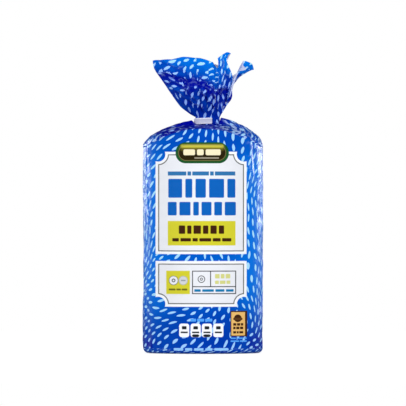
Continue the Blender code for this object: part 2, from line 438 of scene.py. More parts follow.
class ShapeTree:
    """A geometry node tree under construction, whose sizes are named inputs in millimetres."""

    def __init__(self, name: str, sizes: dict[str, float]) -> None:
        """Makes the tree and its sockets.

        Args:
            name: The tree's name.
            sizes: Every size by its name.
        """
        self.sizes = sizes
        self.tree = bpy.data.node_groups.new(name, "GeometryNodeTree")
        self.tree.is_modifier = True
        self.tree.interface.new_socket(name="Geometry", in_out="INPUT", socket_type="NodeSocketGeometry")
        for label in sizes:
            self.tree.interface.new_socket(name=label, in_out="INPUT", socket_type="NodeSocketFloat")
        self.tree.interface.new_socket(name="Geometry", in_out="OUTPUT", socket_type="NodeSocketGeometry")
        self._source = self.tree.nodes.new("NodeGroupInput")
        self._sink = self.tree.nodes.new("NodeGroupOutput")

    @property
    def start(self) -> bpy.types.NodeSocket:
        """The mesh or curve that the tree is put on."""
        return self._source.outputs["Geometry"]

    def size(self, name: str) -> Term:
        """One of the tree's sizes."""
        return Term(self.tree, self._source.outputs[name])

    def node(self, kind: str, settings: Optional[dict[str, object]] = None, **values: object) -> bpy.types.Node:
        """Adds a node.

        Args:
            kind: The node's type, without its GeometryNode prefix.
            settings: Properties of the node itself.
            values: Its inputs, with underscores for the spaces in their names.

        Returns:
            The node.
        """
        made = self.tree.nodes.new("GeometryNode" + kind)
        for key, value in (settings or {}).items():
            setattr(made, key, value)
        for key, value in values.items():
            join(self.tree, value, made.inputs[key.replace("_", " ")])
        return made

    def place_mm(self) -> tuple[Term, Term, Term]:
        """Where the surface is, in millimetres."""
        x, y, z = parts_of(self.tree, self.node("InputPosition").outputs[0])
        return x / MM, y / MM, z / MM

    def sheet(self, across: int, along: int) -> Surface:
        """A grid with the given counts of cells."""
        grid = self.node("MeshGrid", Vertices_X=across + 1, Vertices_Y=along + 1)
        share_x, share_y, _ = parts_of(self.tree, grid.outputs["UV Map"])
        return Surface(grid.outputs["Mesh"], share_x, share_y)

    def put(self, mesh: bpy.types.NodeSocket, x: Term, y: Term, z: Term) -> bpy.types.NodeSocket:
        """Moves a mesh to a place given in millimetres."""
        place = vector(self.tree, x * MM, y * MM, z * MM)
        return self.node("SetPosition", Geometry=mesh, Position=place).outputs[0]

    def keep(self, mesh: bpy.types.NodeSocket, name: str, value: Number) -> bpy.types.NodeSocket:
        """Stores a number at every point of a mesh."""
        settings = {"data_type": "FLOAT", "domain": "POINT"}
        return self.node("StoreNamedAttribute", settings, Geometry=mesh, Name=name, Value=value).outputs[0]

    def keep_film_place(self, mesh: bpy.types.NodeSocket, across: Term, up: Term) -> bpy.types.NodeSocket:
        """Stores where each corner lies on the flat film, in millimetres, as the print's own map."""
        place = vector(self.tree, across, up)
        settings = {"data_type": "FLOAT2", "domain": "CORNER"}
        return self.node("StoreNamedAttribute", settings, Geometry=mesh, Name=FILM_UV, Value=place).outputs[0]

    def kept(self, name: str) -> Term:
        """A number that was stored on the mesh."""
        read = self.node("InputNamedAttribute", {"data_type": "FLOAT"}, Name=name)
        return Term(self.tree, read.outputs["Attribute"])

    def raised(self, mesh: bpy.types.NodeSocket, height: Term) -> bpy.types.NodeSocket:
        """Moves a mesh along its own normals by a height in millimetres."""
        scale = self.tree.nodes.new("ShaderNodeVectorMath")
        scale.operation = "SCALE"
        self.tree.links.new(self.node("InputNormal").outputs[0], scale.inputs[0])
        join(self.tree, height * MM, scale.inputs["Scale"])
        return self.node("SetPosition", Geometry=mesh, Offset=scale.outputs[0]).outputs[0]

    def welded(self, *meshes: bpy.types.NodeSocket) -> bpy.types.NodeSocket:
        """Joins meshes into one, with the points they share made one."""
        together = self.node("JoinGeometry")
        for mesh in reversed(meshes):
            self.tree.links.new(mesh, together.inputs[0])
        return self.node("MergeByDistance", Geometry=together.outputs[0], Distance=0.004 * MM).outputs[0]

    def finish(self, mesh: bpy.types.NodeSocket, finish: bpy.types.Material) -> bpy.types.NodeSocket:
        """Ends in plain smooth geometry with one finish all over."""
        smooth = self.node("SetShadeSmooth", Geometry=mesh).outputs[0]
        plain = self.node("RealizeInstances", Geometry=smooth).outputs[0]
        return self.node("SetMaterial", Geometry=plain, Material=finish).outputs[0]

    def end(self, mesh: bpy.types.NodeSocket) -> None:
        """Connects the result."""
        self.tree.links.new(mesh, self._sink.inputs[0])

    def made_from(self, start: bpy.types.Object, name: str) -> bpy.types.Object:
        """Runs the tree on an object and keeps the result as a plain mesh.

        Args:
            start: The mesh or curve that the tree works on, which is used up.
            name: The new piece's name.

        Returns:
            The new piece.
        """
        modifier = start.modifiers.new(self.tree.name, "NODES")
        modifier.node_group = self.tree
        for item in self.tree.interface.items_tree:
            if item.in_out == "INPUT" and item.name in self.sizes:
                modifier[item.identifier] = float(self.sizes[item.name])
        evaluated = start.evaluated_get(bpy.context.evaluated_depsgraph_get())
        mesh = bpy.data.meshes.new_from_object(evaluated)
        mesh.name = name
        start.modifiers.remove(modifier)
        bpy.data.objects.remove(start)
        return shown(name, mesh)


def shown(name: str, data: bpy.types.ID) -> bpy.types.Object:
    """Puts a mesh or a curve in the scene."""
    made = bpy.data.objects.new(name, data)
    bpy.context.scene.collection.objects.link(made)
    return made


def applied(piece: bpy.types.Object) -> bpy.types.Object:
    """Turns a piece's modifiers into plain mesh."""
    evaluated = piece.evaluated_get(bpy.context.evaluated_depsgraph_get())
    mesh = bpy.data.meshes.new_from_object(evaluated)
    piece.modifiers.clear()
    piece.data = mesh
    return piece


def triangle_wave(value: Term) -> Term:
    """A wave of straight flanks from 0 to 1 and back, one wave for every 2 of its value."""
    return value.math("PINGPONG", 1.0)


@dataclass(frozen=True)
class PackSizes:
    """The shared sizes of the bag, in millimetres, read from the frame where it holds them."""

    radius: float
    height: float
    clip_low: float
    clip_high: float
    clip_left: float
    clip_right: float
    shoulder: float = 168.0
    apron_rise: float = 15.4
    apron_power: float = 2.0
    apron_lean: float = 2.6
    edge: float = 4.0
    neck_x: float = 3.8
    neck_half_width: float = 10.0
    neck_half_depth: float = 5.2
    neck_top: float = 193.4

    @staticmethod
    def from_frame() -> "PackSizes":
        """Reads the body's and the clip's boxes."""
        low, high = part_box(FILM_NODE)
        clip_low, clip_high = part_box(CLIP_NODE)
        return PackSizes(
            radius=0.5 * (high[0] - low[0]) / MM,
            height=high[2] / MM,
            clip_low=clip_low[2] / MM,
            clip_high=clip_high[2] / MM,
            clip_left=clip_low[0] / MM,
            clip_right=clip_high[0] / MM,
        )

    @property
    def neck_base(self) -> float:
        """Height of the pocket floor under the clip."""
        return self.clip_low - 0.5


# ---------------------------------------------------------------------------------------------------
# The film over the stack
# ---------------------------------------------------------------------------------------------------


@dataclass(frozen=True)
class FilmSlack:
    """How loose film lies, in millimetres of height above its plain form."""

    pleats: int = 24
    pleat_depth: float = 1.7
    side_wrinkle: float = 1.1
    crumple: float = 0.85
    dent: float = 0.9
    cake_rib: float = 0.07
    cake_pitch: float = 10.5


class FilmForm:
    """Formulas of the film over the stack, used by every piece that lies on it."""

    ROOF_FULLNESS = 1.2
    COLLAR_MARGIN = 3.0
    COLLAR_RISE = 4.2
    SIDE_MARGIN = 0.9
    SIDE_RISE = 2.0
    BASE_RECESS = 0.8

    def __init__(self, shape: ShapeTree) -> None:
        """Keeps the tree that the formulas are written in.

        Args:
            shape: The tree, with the sizes that sizes_of gives.
        """
        self.shape = shape
        self.tree = shape.tree

    @staticmethod
    def sizes_of(pack: PackSizes, slack: FilmSlack) -> dict[str, float]:
        """Every size that the formulas read."""
        return {
            "Radius": pack.radius,
            "Shoulder": pack.shoulder,
            "Apron Rise": pack.apron_rise,
            "Apron Power": pack.apron_power,
            "Apron Lean": pack.apron_lean,
            "Edge Radius": pack.edge,
            "Neck X": pack.neck_x,
            "Neck Half Width": pack.neck_half_width,
            "Neck Half Depth": pack.neck_half_depth,
            "Neck Base": pack.neck_base,
            "Pleats": float(slack.pleats),
            "Pleat Depth": slack.pleat_depth,
            "Side Wrinkle": slack.side_wrinkle,
            "Crumple": slack.crumple,
            "Dent": slack.dent,
            "Cake Rib": slack.cake_rib,
            "Cake Pitch": slack.cake_pitch,
        }

    @staticmethod
    def turn(sheet: Surface, low: float = -math.pi, high: float = math.pi) -> Term:
        """The direction round the bag over a sheet."""
        return sheet.across * (high - low) + low

    def _ring_noise(self, turn: Term, scale: float, lift: float) -> Term:
        """Soft noise from -0.5 to 0.5 that closes round the bag."""
        return noise(self.tree, vector(self.tree, turn.sine(), turn.cosine(), lift), scale, 1.0) - 0.5

    def crease_height(self, turn: Term) -> Term:
        """Height at which the upright film turns in over the top cake."""
        rise = self.shape.size("Apron Rise") * turn.cosine().size() ** self.shape.size("Apron Power")
        return self.shape.size("Shoulder") + rise + self._ring_noise(turn, 2.2, 0.3) * 2.4 * turn.cosine().size()

    def radius_at(self, height: Term) -> Term:
        """Radius of the upright film, which leans in a little above the top cake."""
        above = (height - self.shape.size("Shoulder")).at_least(0.0)
        return self.shape.size("Radius") - self.shape.size("Apron Lean") * above / self.shape.size("Apron Rise")

    def round(self, turn: Term, radius: Term) -> tuple[Term, Term]:
        """Across and depth of a point at a radius."""
        return radius * turn.sine(), -(radius * turn.cosine())

    def base(self, turn: Term, share: Term) -> tuple[Term, Term, Term]:
        """The film under the lowest cake, from its middle to the top of the rounded edge."""
        flat_share = 0.72
        flat = (share / flat_share).at_most(1.0)
        bend = (share - flat_share).at_least(0.0) * (0.5 * math.pi / (1.0 - flat_share))
        edge = self.shape.size("Edge Radius")
        radius = (self.shape.size("Radius") - edge) * flat + edge * bend.sine()
        fold = triangle_wave(turn * (14.0 / math.pi) + self._ring_noise(turn, 1.5, 4.0)) * 0.5
        recess = (1.0 - flat ** 8.0) * (self.BASE_RECESS - fold * flat)
        return *self.round(turn, radius), edge * (1.0 - bend.cosine()) + recess

    def wall(self, turn: Term, share: Term) -> tuple[Term, Term, Term]:
        """The upright film, from the rounded edge to the crease."""
        edge = self.shape.size("Edge Radius")
        height = edge + (self.crease_height(turn) - edge) * share
        return *self.round(turn, self.radius_at(height)), height

    def collar(self, turn: Term) -> tuple[Term, Term, Term]:
        """The line round the clip on which the roof ends."""
        beside = turn.sine().step(0.80, 0.97)
        margin = self.COLLAR_MARGIN - beside * (self.COLLAR_MARGIN - self.SIDE_MARGIN)
        x = self.shape.size("Neck X") + (self.shape.size("Neck Half Width") + margin) * turn.sine()
        y = -((self.shape.size("Neck Half Depth") + self.COLLAR_MARGIN) * turn.cosine())
        rise = turn.sine().size() ** 4.0 * self.COLLAR_RISE + beside * self.SIDE_RISE
        return x, y, self.shape.size("Neck Base") + rise

    def roof(self, turn: Term, share: Term) -> tuple[Term, Term, Term]:
        """The film drawn in from the crease to the collar, in pleats that run to the clip."""
        bend = share * (0.5 * math.pi)
        crease = self.crease_height(turn)
        x_out, y_out = self.round(turn, self.radius_at(crease))
        x_in, y_in, z_in = self.collar(turn)
        outward = bend.cosine()
        rise = (1.0 - outward ** self.ROOF_FULLNESS).at_least(0.0) ** 0.5
        bent = turn + self._ring_noise(turn, 1.7, 1.0) * 0.5
        count = self.shape.size("Pleats") / math.pi
        pleat = triangle_wave(bent * count) * 0.65 + triangle_wave(bent * (9.0 / math.pi) + 0.4) * 0.35
        depth = self.shape.size("Pleat Depth") * (share * (1.0 - share * 0.35)).at_least(0.0)
        z = crease + (z_in - crease) * rise - depth * (1.0 - pleat)
        return x_in + (x_out - x_in) * outward, y_in + (y_out - y_in) * outward, z

    def roof_shade_and_light(self, turn: Term, share: Term) -> Term:
        """Painted shade of the roof, darkest round the clip, with painted light at the shoulders and on loose folds.
        """
        loose = vector(self.tree, turn * 2.6, share * 3.0)
        folds = noise(self.tree, loose, 1.6, 2.0).step(0.46, 0.66)
        right = turn.step(0.40, 0.62)
        left = turn.step(-0.72, -1.02) * share.step(0.42, 0.22)
        shoulder = right.at_least(left) * turn.cosine().step(-0.5, 0.2)
        # Painted light at the shoulders and on loose folds, taken off the painted shade.
        painted_light = (shoulder * (folds * 0.35 + 0.62) + folds * 0.10) * share.step(1.0, 0.72)
        return share.step(0.0, 0.04) * (1.0 - painted_light.at_most(0.92))

    def pocket(self, turn: Term, share: Term) -> tuple[Term, Term, Term]:
        """The film from the collar down to the pocket floor and in to the middle of the neck."""
        x, y, z = self.roof(turn, share * 0.0 + 1.0)
        floor = self.shape.size("Neck Base") - 0.4
        inward = 1.0 - share
        centre = self.shape.size("Neck X")
        return centre + (x - centre) * inward, y * inward, z + (floor - z) * (share * 6.0).at_most(1.0)

    def keep_places(
        self, mesh: bpy.types.NodeSocket, place: tuple[Term, Term, Term], turn: Term, up: Term, slack: Number
    ) -> bpy.types.NodeSocket:
        """Puts a sheet at its place and stores where it lies on the flat film and how slack it is.

        Args:
            mesh: The sheet.
            place: Its place in millimetres.
            turn: Its direction round the bag.
            up: How far up the flat film it lies, in millimetres.
            slack: From 0 for drawn tight to 1 for loose.

        Returns:
            The placed sheet.
        """
        mapped = self.shape.keep_film_place(mesh, turn * self.shape.size("Radius"), up)
        return self.shape.put(self.shape.keep(mapped, SLACK, slack), *place)

    def wall_slack(self, turn: Term, height: Term) -> Term:
        """Film is drawn tight over the front and the back and is loose at the sides and at the foot."""
        side = turn.sine().size().step(0.82, 0.97)
        foot = height.step(26.0, 5.0) * turn.sine().size().step(0.35, 0.8)
        shoulder = turn.sine().step(0.68, 0.84) * height.step(128.0, 146.0)
        return (side.at_least(foot * 0.5).at_least(shoulder) * 0.9 + 0.10).at_most(1.0)

    def foot_tuck_shade(self, turn: Term, height: Term) -> Term:
        """Painted shade in the tucks at the corners of the foot."""
        tucks = noise(self.tree, vector(self.tree, turn * 5.0, height * 0.16), 1.2, 1.0).step(0.42, 0.58)
        return height.step(24.0, 5.0) * turn.sine().size().step(0.62, 0.88) * (tucks * 0.6 + 0.3)

    def _strands(self) -> tuple[Term, bpy.types.NodeSocket]:
        """Ridges of drawn film, from 0 to 1, and the swaying places at which they are read."""
        x, y, z = self.shape.place_mm()
        strand = vector(self.tree, x / 15.0, y / 12.0, z / 34.0)
        sway = noise(self.tree, strand, 0.6, 1.0) - 0.5
        strand = vector(self.tree, x / 15.0 + sway, y / 12.0 + sway * 2.0, z / 34.0)
        ridge = 1.0 - (noise(self.tree, strand, 1.0, 0.5) - 0.5).size() * 4.0
        return ridge.at_least(0.0), strand

    def wall_painted_sheen(self) -> Term:
        """Painted highlight on the wall's loose film: along its ridges, and in some places only."""
        x, y, z = self.shape.place_mm()
        ridge, _ = self._strands()
        patch = noise(self.tree, vector(self.tree, x / 36.0, y / 36.0, z / 36.0), 1.0, 1.0).step(0.42, 0.60)
        above_foot = z.step(16.0, 34.0)
        loose = (self.shape.kept(SLACK) - 0.12).at_least(0.0)
        return (ridge.step(0.30, 0.90) * 0.7 + 0.4) * (patch * 0.8 + 0.2) * above_foot * loose

    def roof_painted_sheen(self, turn: Term, share: Term) -> Term:
        """Painted highlight on the roof: most along the left crease and on the right shoulder."""
        start = share.step(0.0, 0.04)
        left = turn.step(-0.58, -0.92) * share.step(0.36, 0.18) * 1.1
        right = turn.step(0.04, 0.28) * turn.cosine().step(-0.6, 0.1) * share.step(1.0, 0.86) * 0.75
        rest = noise(self.tree, vector(self.tree, turn * 2.0, share * 2.0), 1.4, 1.0).step(0.50, 0.62) * 0.4
        return left.at_least(right).at_least(rest * share.step(1.0, 0.9)) * start

    def loose_height(self) -> Term:
        """How far loose film stands off its plain form: wrinkles at the sides, crumples on the roof."""
        x, y, z = self.shape.place_mm()
        slack = self.shape.kept(SLACK)
        on_roof = self.shape.kept(ROOF)
        upright = 1.0 - on_roof
        ridge, strand = self._strands()
        wrinkle = (ridge * 0.5 + noise(self.tree, strand, 0.9, 1.0) - 0.85) * self.shape.size("Side Wrinkle")
        lump = vector(self.tree, x / 10.0, y / 10.0, z / 10.0)
        dent = (noise(self.tree, lump, 0.55, 1.5) - 0.5) * self.shape.size("Dent") * 2.0
        crumple = (facets(self.tree, lump, 1.25) - 0.42) * self.shape.size("Crumple") * 2.0
        rib = (z * (2.0 * math.pi) / self.shape.size("Cake Pitch")).cosine() * self.shape.size("Cake Rib")
        near_clip = ((x - self.shape.size("Neck X")) ** 2.0 + (y * 1.5) ** 2.0) ** 0.5
        clear = near_clip.step(11.0, 19.0)
        foot = z.step(0.5, 6.0)
        loose = wrinkle * upright * 1.6 + (dent + crumple) * (on_roof * 0.9 + 0.1 * upright)
        return (loose * slack * clear + rib * upright) * foot


class FilmTube:
    """The printed film from under the stack, up the wall and over the roof to the clip."""

    AROUND = 320
    BASE_ROWS = 26
    WALL_ROWS = 150
    ROOF_ROWS = 56
    POCKET_ROWS = 8
    ROOF_HIDDEN = 0.62

    def __init__(self, pack: PackSizes, slack: FilmSlack) -> None:
        """Keeps the sizes.

        Args:
            pack: The bag's sizes.
            slack: How loose the film lies.
        """
        self.pack = pack
        self.shape = ShapeTree("Film Tube", FilmForm.sizes_of(pack, slack))
        self.form = FilmForm(self.shape)

    def _sheets(self) -> Iterable[bpy.types.NodeSocket]:
        """The base, the wall, the roof and the pocket, each as one grid."""
        form, pack = self.form, self.pack
        sheet = self.shape.sheet(self.AROUND, self.BASE_ROWS)
        turn = form.turn(sheet)
        place = form.base(turn, sheet.along)
        mesh = form.keep_places(sheet.mesh, place, turn, (sheet.along - 1.0) * pack.radius, 0.35)
        # The base: no painted shade, a faint painted highlight.
        yield self._keep_looks(mesh, 0.0, 0.0, 0.1)
        sheet = self.shape.sheet(self.AROUND, self.WALL_ROWS)
        turn = form.turn(sheet)
        place = form.wall(turn, sheet.along)
        mesh = form.keep_places(sheet.mesh, place, turn, place[2], form.wall_slack(turn, place[2]))
        # The wall: painted shade in the foot tucks, painted highlight on loose film.
        yield self._keep_looks(mesh, form.foot_tuck_shade(turn, place[2]), 0.0, form.wall_painted_sheen())
        sheet = self.shape.sheet(self.AROUND, self.ROOF_ROWS)
        turn = form.turn(sheet)
        place = form.roof(turn, sheet.along)
        up = form.crease_height(turn) + sheet.along * (pack.radius - pack.neck_half_depth)
        drawn_in = turn * (1.0 - sheet.along * self.ROOF_HIDDEN)
        mesh = form.keep_places(sheet.mesh, place, drawn_in, up, 1.0)
        # The roof: painted shade and light, and painted highlight.
        ink, painted_sheen = form.roof_shade_and_light(turn, sheet.along), form.roof_painted_sheen(turn, sheet.along)
        yield self._keep_looks(mesh, ink, sheet.along.step(0.0, 0.05), painted_sheen)
        sheet = self.shape.sheet(self.AROUND, self.POCKET_ROWS)
        turn = form.turn(sheet)
        place = form.pocket(turn, sheet.along)
        up = form.crease_height(turn) + (sheet.along * 0.2 + 1.0) * (pack.radius - pack.neck_half_depth)
        mesh = form.keep_places(sheet.mesh, place, turn * (1.0 - self.ROOF_HIDDEN), up, 0.0)
        # The pocket under the clip: full painted shade.
        yield self._keep_looks(mesh, 1.0, 1.0, 0.0)

    def _keep_looks(
        self, mesh: bpy.types.NodeSocket, ink: Number, roof: Number, painted_sheen: Number
    ) -> bpy.types.NodeSocket:
        """Stores a sheet's painted shade and light, whether it is roof, and its painted highlight."""
        for name, value in ((SHADE_AND_LAYERS, ink), (ROOF, roof), (PAINTED_SHEEN, painted_sheen)):
            mesh = self.shape.keep(mesh, name, value)
        return mesh

    def build(self, plain: bpy.types.Material, label: bpy.types.Material) -> bpy.types.Object:
        """Makes the film and dresses it.

        Args:
            plain: Finish of the printed film.
            label: Finish of the front, where the panels are printed.

        Returns:
            The piece.
        """
        mesh = self.shape.welded(*self._sheets())
        mesh = self.shape.finish(self.shape.raised(mesh, self.form.loose_height()), plain)
        x, y, z = self.shape.place_mm()
        front = (y * -1.0).step(-0.5, 0.5) * z.step(0.5, 1.5) * z.step(178.0, 177.0) * x.size().step(43.5, 43.0)
        picked = front.math("GREATER_THAN", 0.5)
        mesh = self.shape.node("SetMaterial", Geometry=mesh, Selection=picked, Material=label).outputs[0]
        self.shape.end(mesh)
        piece = self.shape.made_from(shown("start", bpy.data.meshes.new("start")), "wall_film")
        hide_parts(FILM_NODE)
        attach(piece, "root")
        return piece


# ---------------------------------------------------------------------------------------------------
# The crown over the clip
# ---------------------------------------------------------------------------------------------------


@dataclass(frozen=True)
class Fold:
    """One fold line of the crown, from the clip to the rim. Leans are in degrees.

    Attributes:
        share: How far round from the front it lies, as a share of a full turn.
        length: How much of the film's length shows along it.
        side: Its sideways lean at the stations of the crown.
        front: Its lean away from the middle, below and above the knee.
        knee_share: Where the film opens out, as a share of its length; above it the painted shade gives way to painted
            light.
    """

    share: float
    length: float
    side: tuple[float, ...]
    front: tuple[float, float]
    knee_share: float = 0.52


CROWN_FOLDS = (
    Fold(-0.250, 1.065, (-66, -39, -35, -34, -34, -32, -2), (0, 0), 0.80),
    Fold(-0.215, 1.02, (-52, -34, -30, -28, -27, -26, -25), (14, -12), 0.77),
    Fold(-0.165, 0.98, (-40, -26, -22, -20, -19, -18, -16), (22, -18), 0.71),
    Fold(-0.120, 1.01, (-28, -18, -14, -11, -11, -10, -9), (28, -24), 0.64),
    Fold(-0.045, 1.00, (-10, -6, -5, -4, -4, -3, -3), (34, -30), 0.60),
    Fold(0.020, 0.95, (0, 2, 3, 4, 5, 6, 6), (36, -32), 0.585),
    Fold(0.048, 0.86, (4, 5, 6, 5, 5, 5, 5), (35, -30), 0.56),
    Fold(0.076, 0.83, (8, 8, 8, 6, 5, 4, 4), (34, -28), 0.53),
    Fold(0.092, 0.935, (9, 9, 7, 2, -2, -4, -5), (28, -18), 0.48),
    Fold(0.130, 0.99, (13, 14, 12, 6, -2, -2, 20), (20, -4), 0.44),
    Fold(0.160, 1.01, (16, 21, 22, 12, -22, -20, 70), (12, 4), 0.42),
    Fold(0.182, 0.84, (20, 24, 20, 6, -14, -12, -8), (10, -8), 0.38),
    Fold(0.205, 0.62, (26, 31, 22, 16, 14, 12, 12), (8, -16), 0.36),
    Fold(0.228, 0.92, (28, 33, -6, 20, 30, 40, 4), (4, -2), 0.42),
    Fold(0.250, 0.95, (30, 36, -8, 30, 42, 54, 36), (2, -6), 0.42),
    Fold(0.272, 0.92, (30, 36, -10, 36, 46, 57, 82), (0, -10), 0.42),
    Fold(0.295, 0.60, (26, 30, 16, 8, 4, 0, 0), (-14, 14), 0.40),
    Fold(0.350, 0.86, (14, 12, 10, 6, 4, 2, 2), (-34, 34), 0.60),
    Fold(0.430, 0.84, (2, 2, 2, 0, 0, 0, 0), (-28, 16), 0.60),
    Fold(0.500, 0.88, (-8, -6, -6, -4, -4, -4, -4), (-40, 36), 0.62),
    Fold(0.580, 0.94, (-20, -16, -14, -10, -9, -8, -8), (-26, 10), 0.64),
    Fold(0.680, 0.96, (-42, -28, -24, -22, -21, -20, -20), (-22, 20), 0.76),
)


@dataclass(frozen=True)
class Panel:
    """A part of the crown that shows another stretch of the print, because the film is folded over at its edge.

    Attributes:
        left: Where it starts round the crown, as a share of a turn from the front.
        right: Where it ends.
        low: Where it starts, as a share of the film's length above the knee.
        high: Where it ends.
        lean: How far its grains lean over clockwise, in degrees.
        ink: Its painted light and shade, with the deeper blue of stacked film: 0 for the bright look of one layer held
            to the light, 1 for the dark look of many.
        inside_out: Whether the film is turned over there, so that its unprinted side shows.
    """

    left: float
    right: float
    low: float
    high: float
    lean: float
    ink: float
    inside_out: bool = False


# Each panel's ink is painted light and shade: bright for one layer of film held to the light, dark for many.
CROWN_PANELS = (
    Panel(-0.50, 0.50, -2.00, 2.00, -30.0, 0.75),
    Panel(-0.28, 0.084, 0.00, 2.00, 24.0, 0.0),
    Panel(0.084, 0.215, 0.00, 2.00, -8.0, 0.06),
    Panel(0.215, 0.295, 0.00, 2.00, 12.0, 0.10),
    Panel(-0.28, -0.165, -0.30, 0.00, 60.0, 0.50),
    Panel(0.30, 0.72, 0.00, 2.00, 24.0, 0.0),
    Panel(0.209, 0.225, 0.12, 2.00, 0.0, 0.10, inside_out=True),
    Panel(0.168, 0.178, 0.52, 2.00, 0.0, 0.10, inside_out=True),
)


@dataclass(frozen=True)
class Crease:
    """A fold line across the crown, with the film bulging over it and tucked in under it.

    Attributes:
        path: Places on it, each a share of a turn from the front and a share of the film's length.
        depth: How far the film is tucked in, in millimetres.
        reach: How far from the line it still shows, in millimetres.
        ink: How dark the painted shade on its tucked-in side is.
        painted_sheen: How strong the painted highlight on its bulging side is.
    """

    path: tuple[tuple[float, float], ...]
    depth: float
    reach: float
    ink: float
    painted_sheen: float = 0.12


# Each crease: path, depth, reach, the darkness of its painted shade and the strength of its painted highlight.
CROWN_CREASES = (
    Crease(((-0.13, 0.58), (-0.04, 0.54), (0.04, 0.47), (0.10, 0.41)), 0.9, 2.6, 0.95),
    Crease(((-0.24, 0.76), (-0.20, 0.71), (-0.15, 0.66), (-0.10, 0.62)), 0.6, 2.6, 0.80),
    Crease(((-0.24, 0.66), (-0.17, 0.58), (-0.10, 0.49)), 0.7, 2.4, 0.85),
    Crease(((-0.20, 0.94), (-0.165, 0.86), (-0.12, 0.78)), 0.5, 1.8, 0.45),
    Crease(((-0.11, 0.72), (-0.05, 0.66), (0.00, 0.66), (0.05, 0.60)), 0.5, 1.6, 0.50),
    Crease(((-0.20, 0.44), (-0.13, 0.26), (-0.05, 0.12)), 0.7, 4.5, 0.45),
    Crease(((-0.16, 0.50), (-0.11, 0.40), (-0.09, 0.30)), 0.5, 2.0, 0.50),
    Crease(((-0.04, 0.42), (0.04, 0.27), (0.11, 0.13)), 0.8, 3.0, 0.55),
    Crease(((0.02, 0.46), (0.05, 0.34), (0.06, 0.22)), 0.5, 1.8, 0.50),
    Crease(((0.100, 0.52), (0.115, 0.40), (0.11, 0.20)), 0.6, 1.8, 0.55, 0.15),
    Crease(((0.105, 0.90), (0.118, 0.74), (0.128, 0.56), (0.135, 0.36)), 0.5, 1.4, 0.40, 0.20),
    Crease(((0.15, 0.66), (0.16, 0.44), (0.15, 0.22)), 0.6, 2.4, 0.70, 0.15),
)


class Crumple:
    """Presses creases and dents into a finished sheet of film, as far as its slack allows."""

    def __init__(self, dent: float, crease: float, grain: float) -> None:
        """Builds the tree.

        Args:
            dent: Height of the broad dents, in millimetres.
            crease: Height of the facets between the creases, in millimetres.
            grain: Size of a facet, in millimetres.
        """
        self.shape = ShapeTree("Crumple", {"Dent": dent, "Crease": crease, "Facet Size": grain})
        tree = self.shape.tree
        x, y, z = self.shape.place_mm()
        facet = self.shape.size("Facet Size")
        place = vector(tree, x / facet, y / facet, z / facet)
        soft = (noise(tree, place, 0.45, 1.5) - 0.5) * self.shape.size("Dent") * 2.0
        sharp = (facets(tree, place, 1.0) - 0.45) * self.shape.size("Crease") * 2.0
        mesh = self.shape.raised(self.shape.start, (soft + sharp) * self.shape.kept(SLACK))
        plain = self.shape.node("RealizeInstances", Geometry=mesh).outputs[0]
        self.shape.end(self.shape.node("SetShadeSmooth", Geometry=plain).outputs[0])


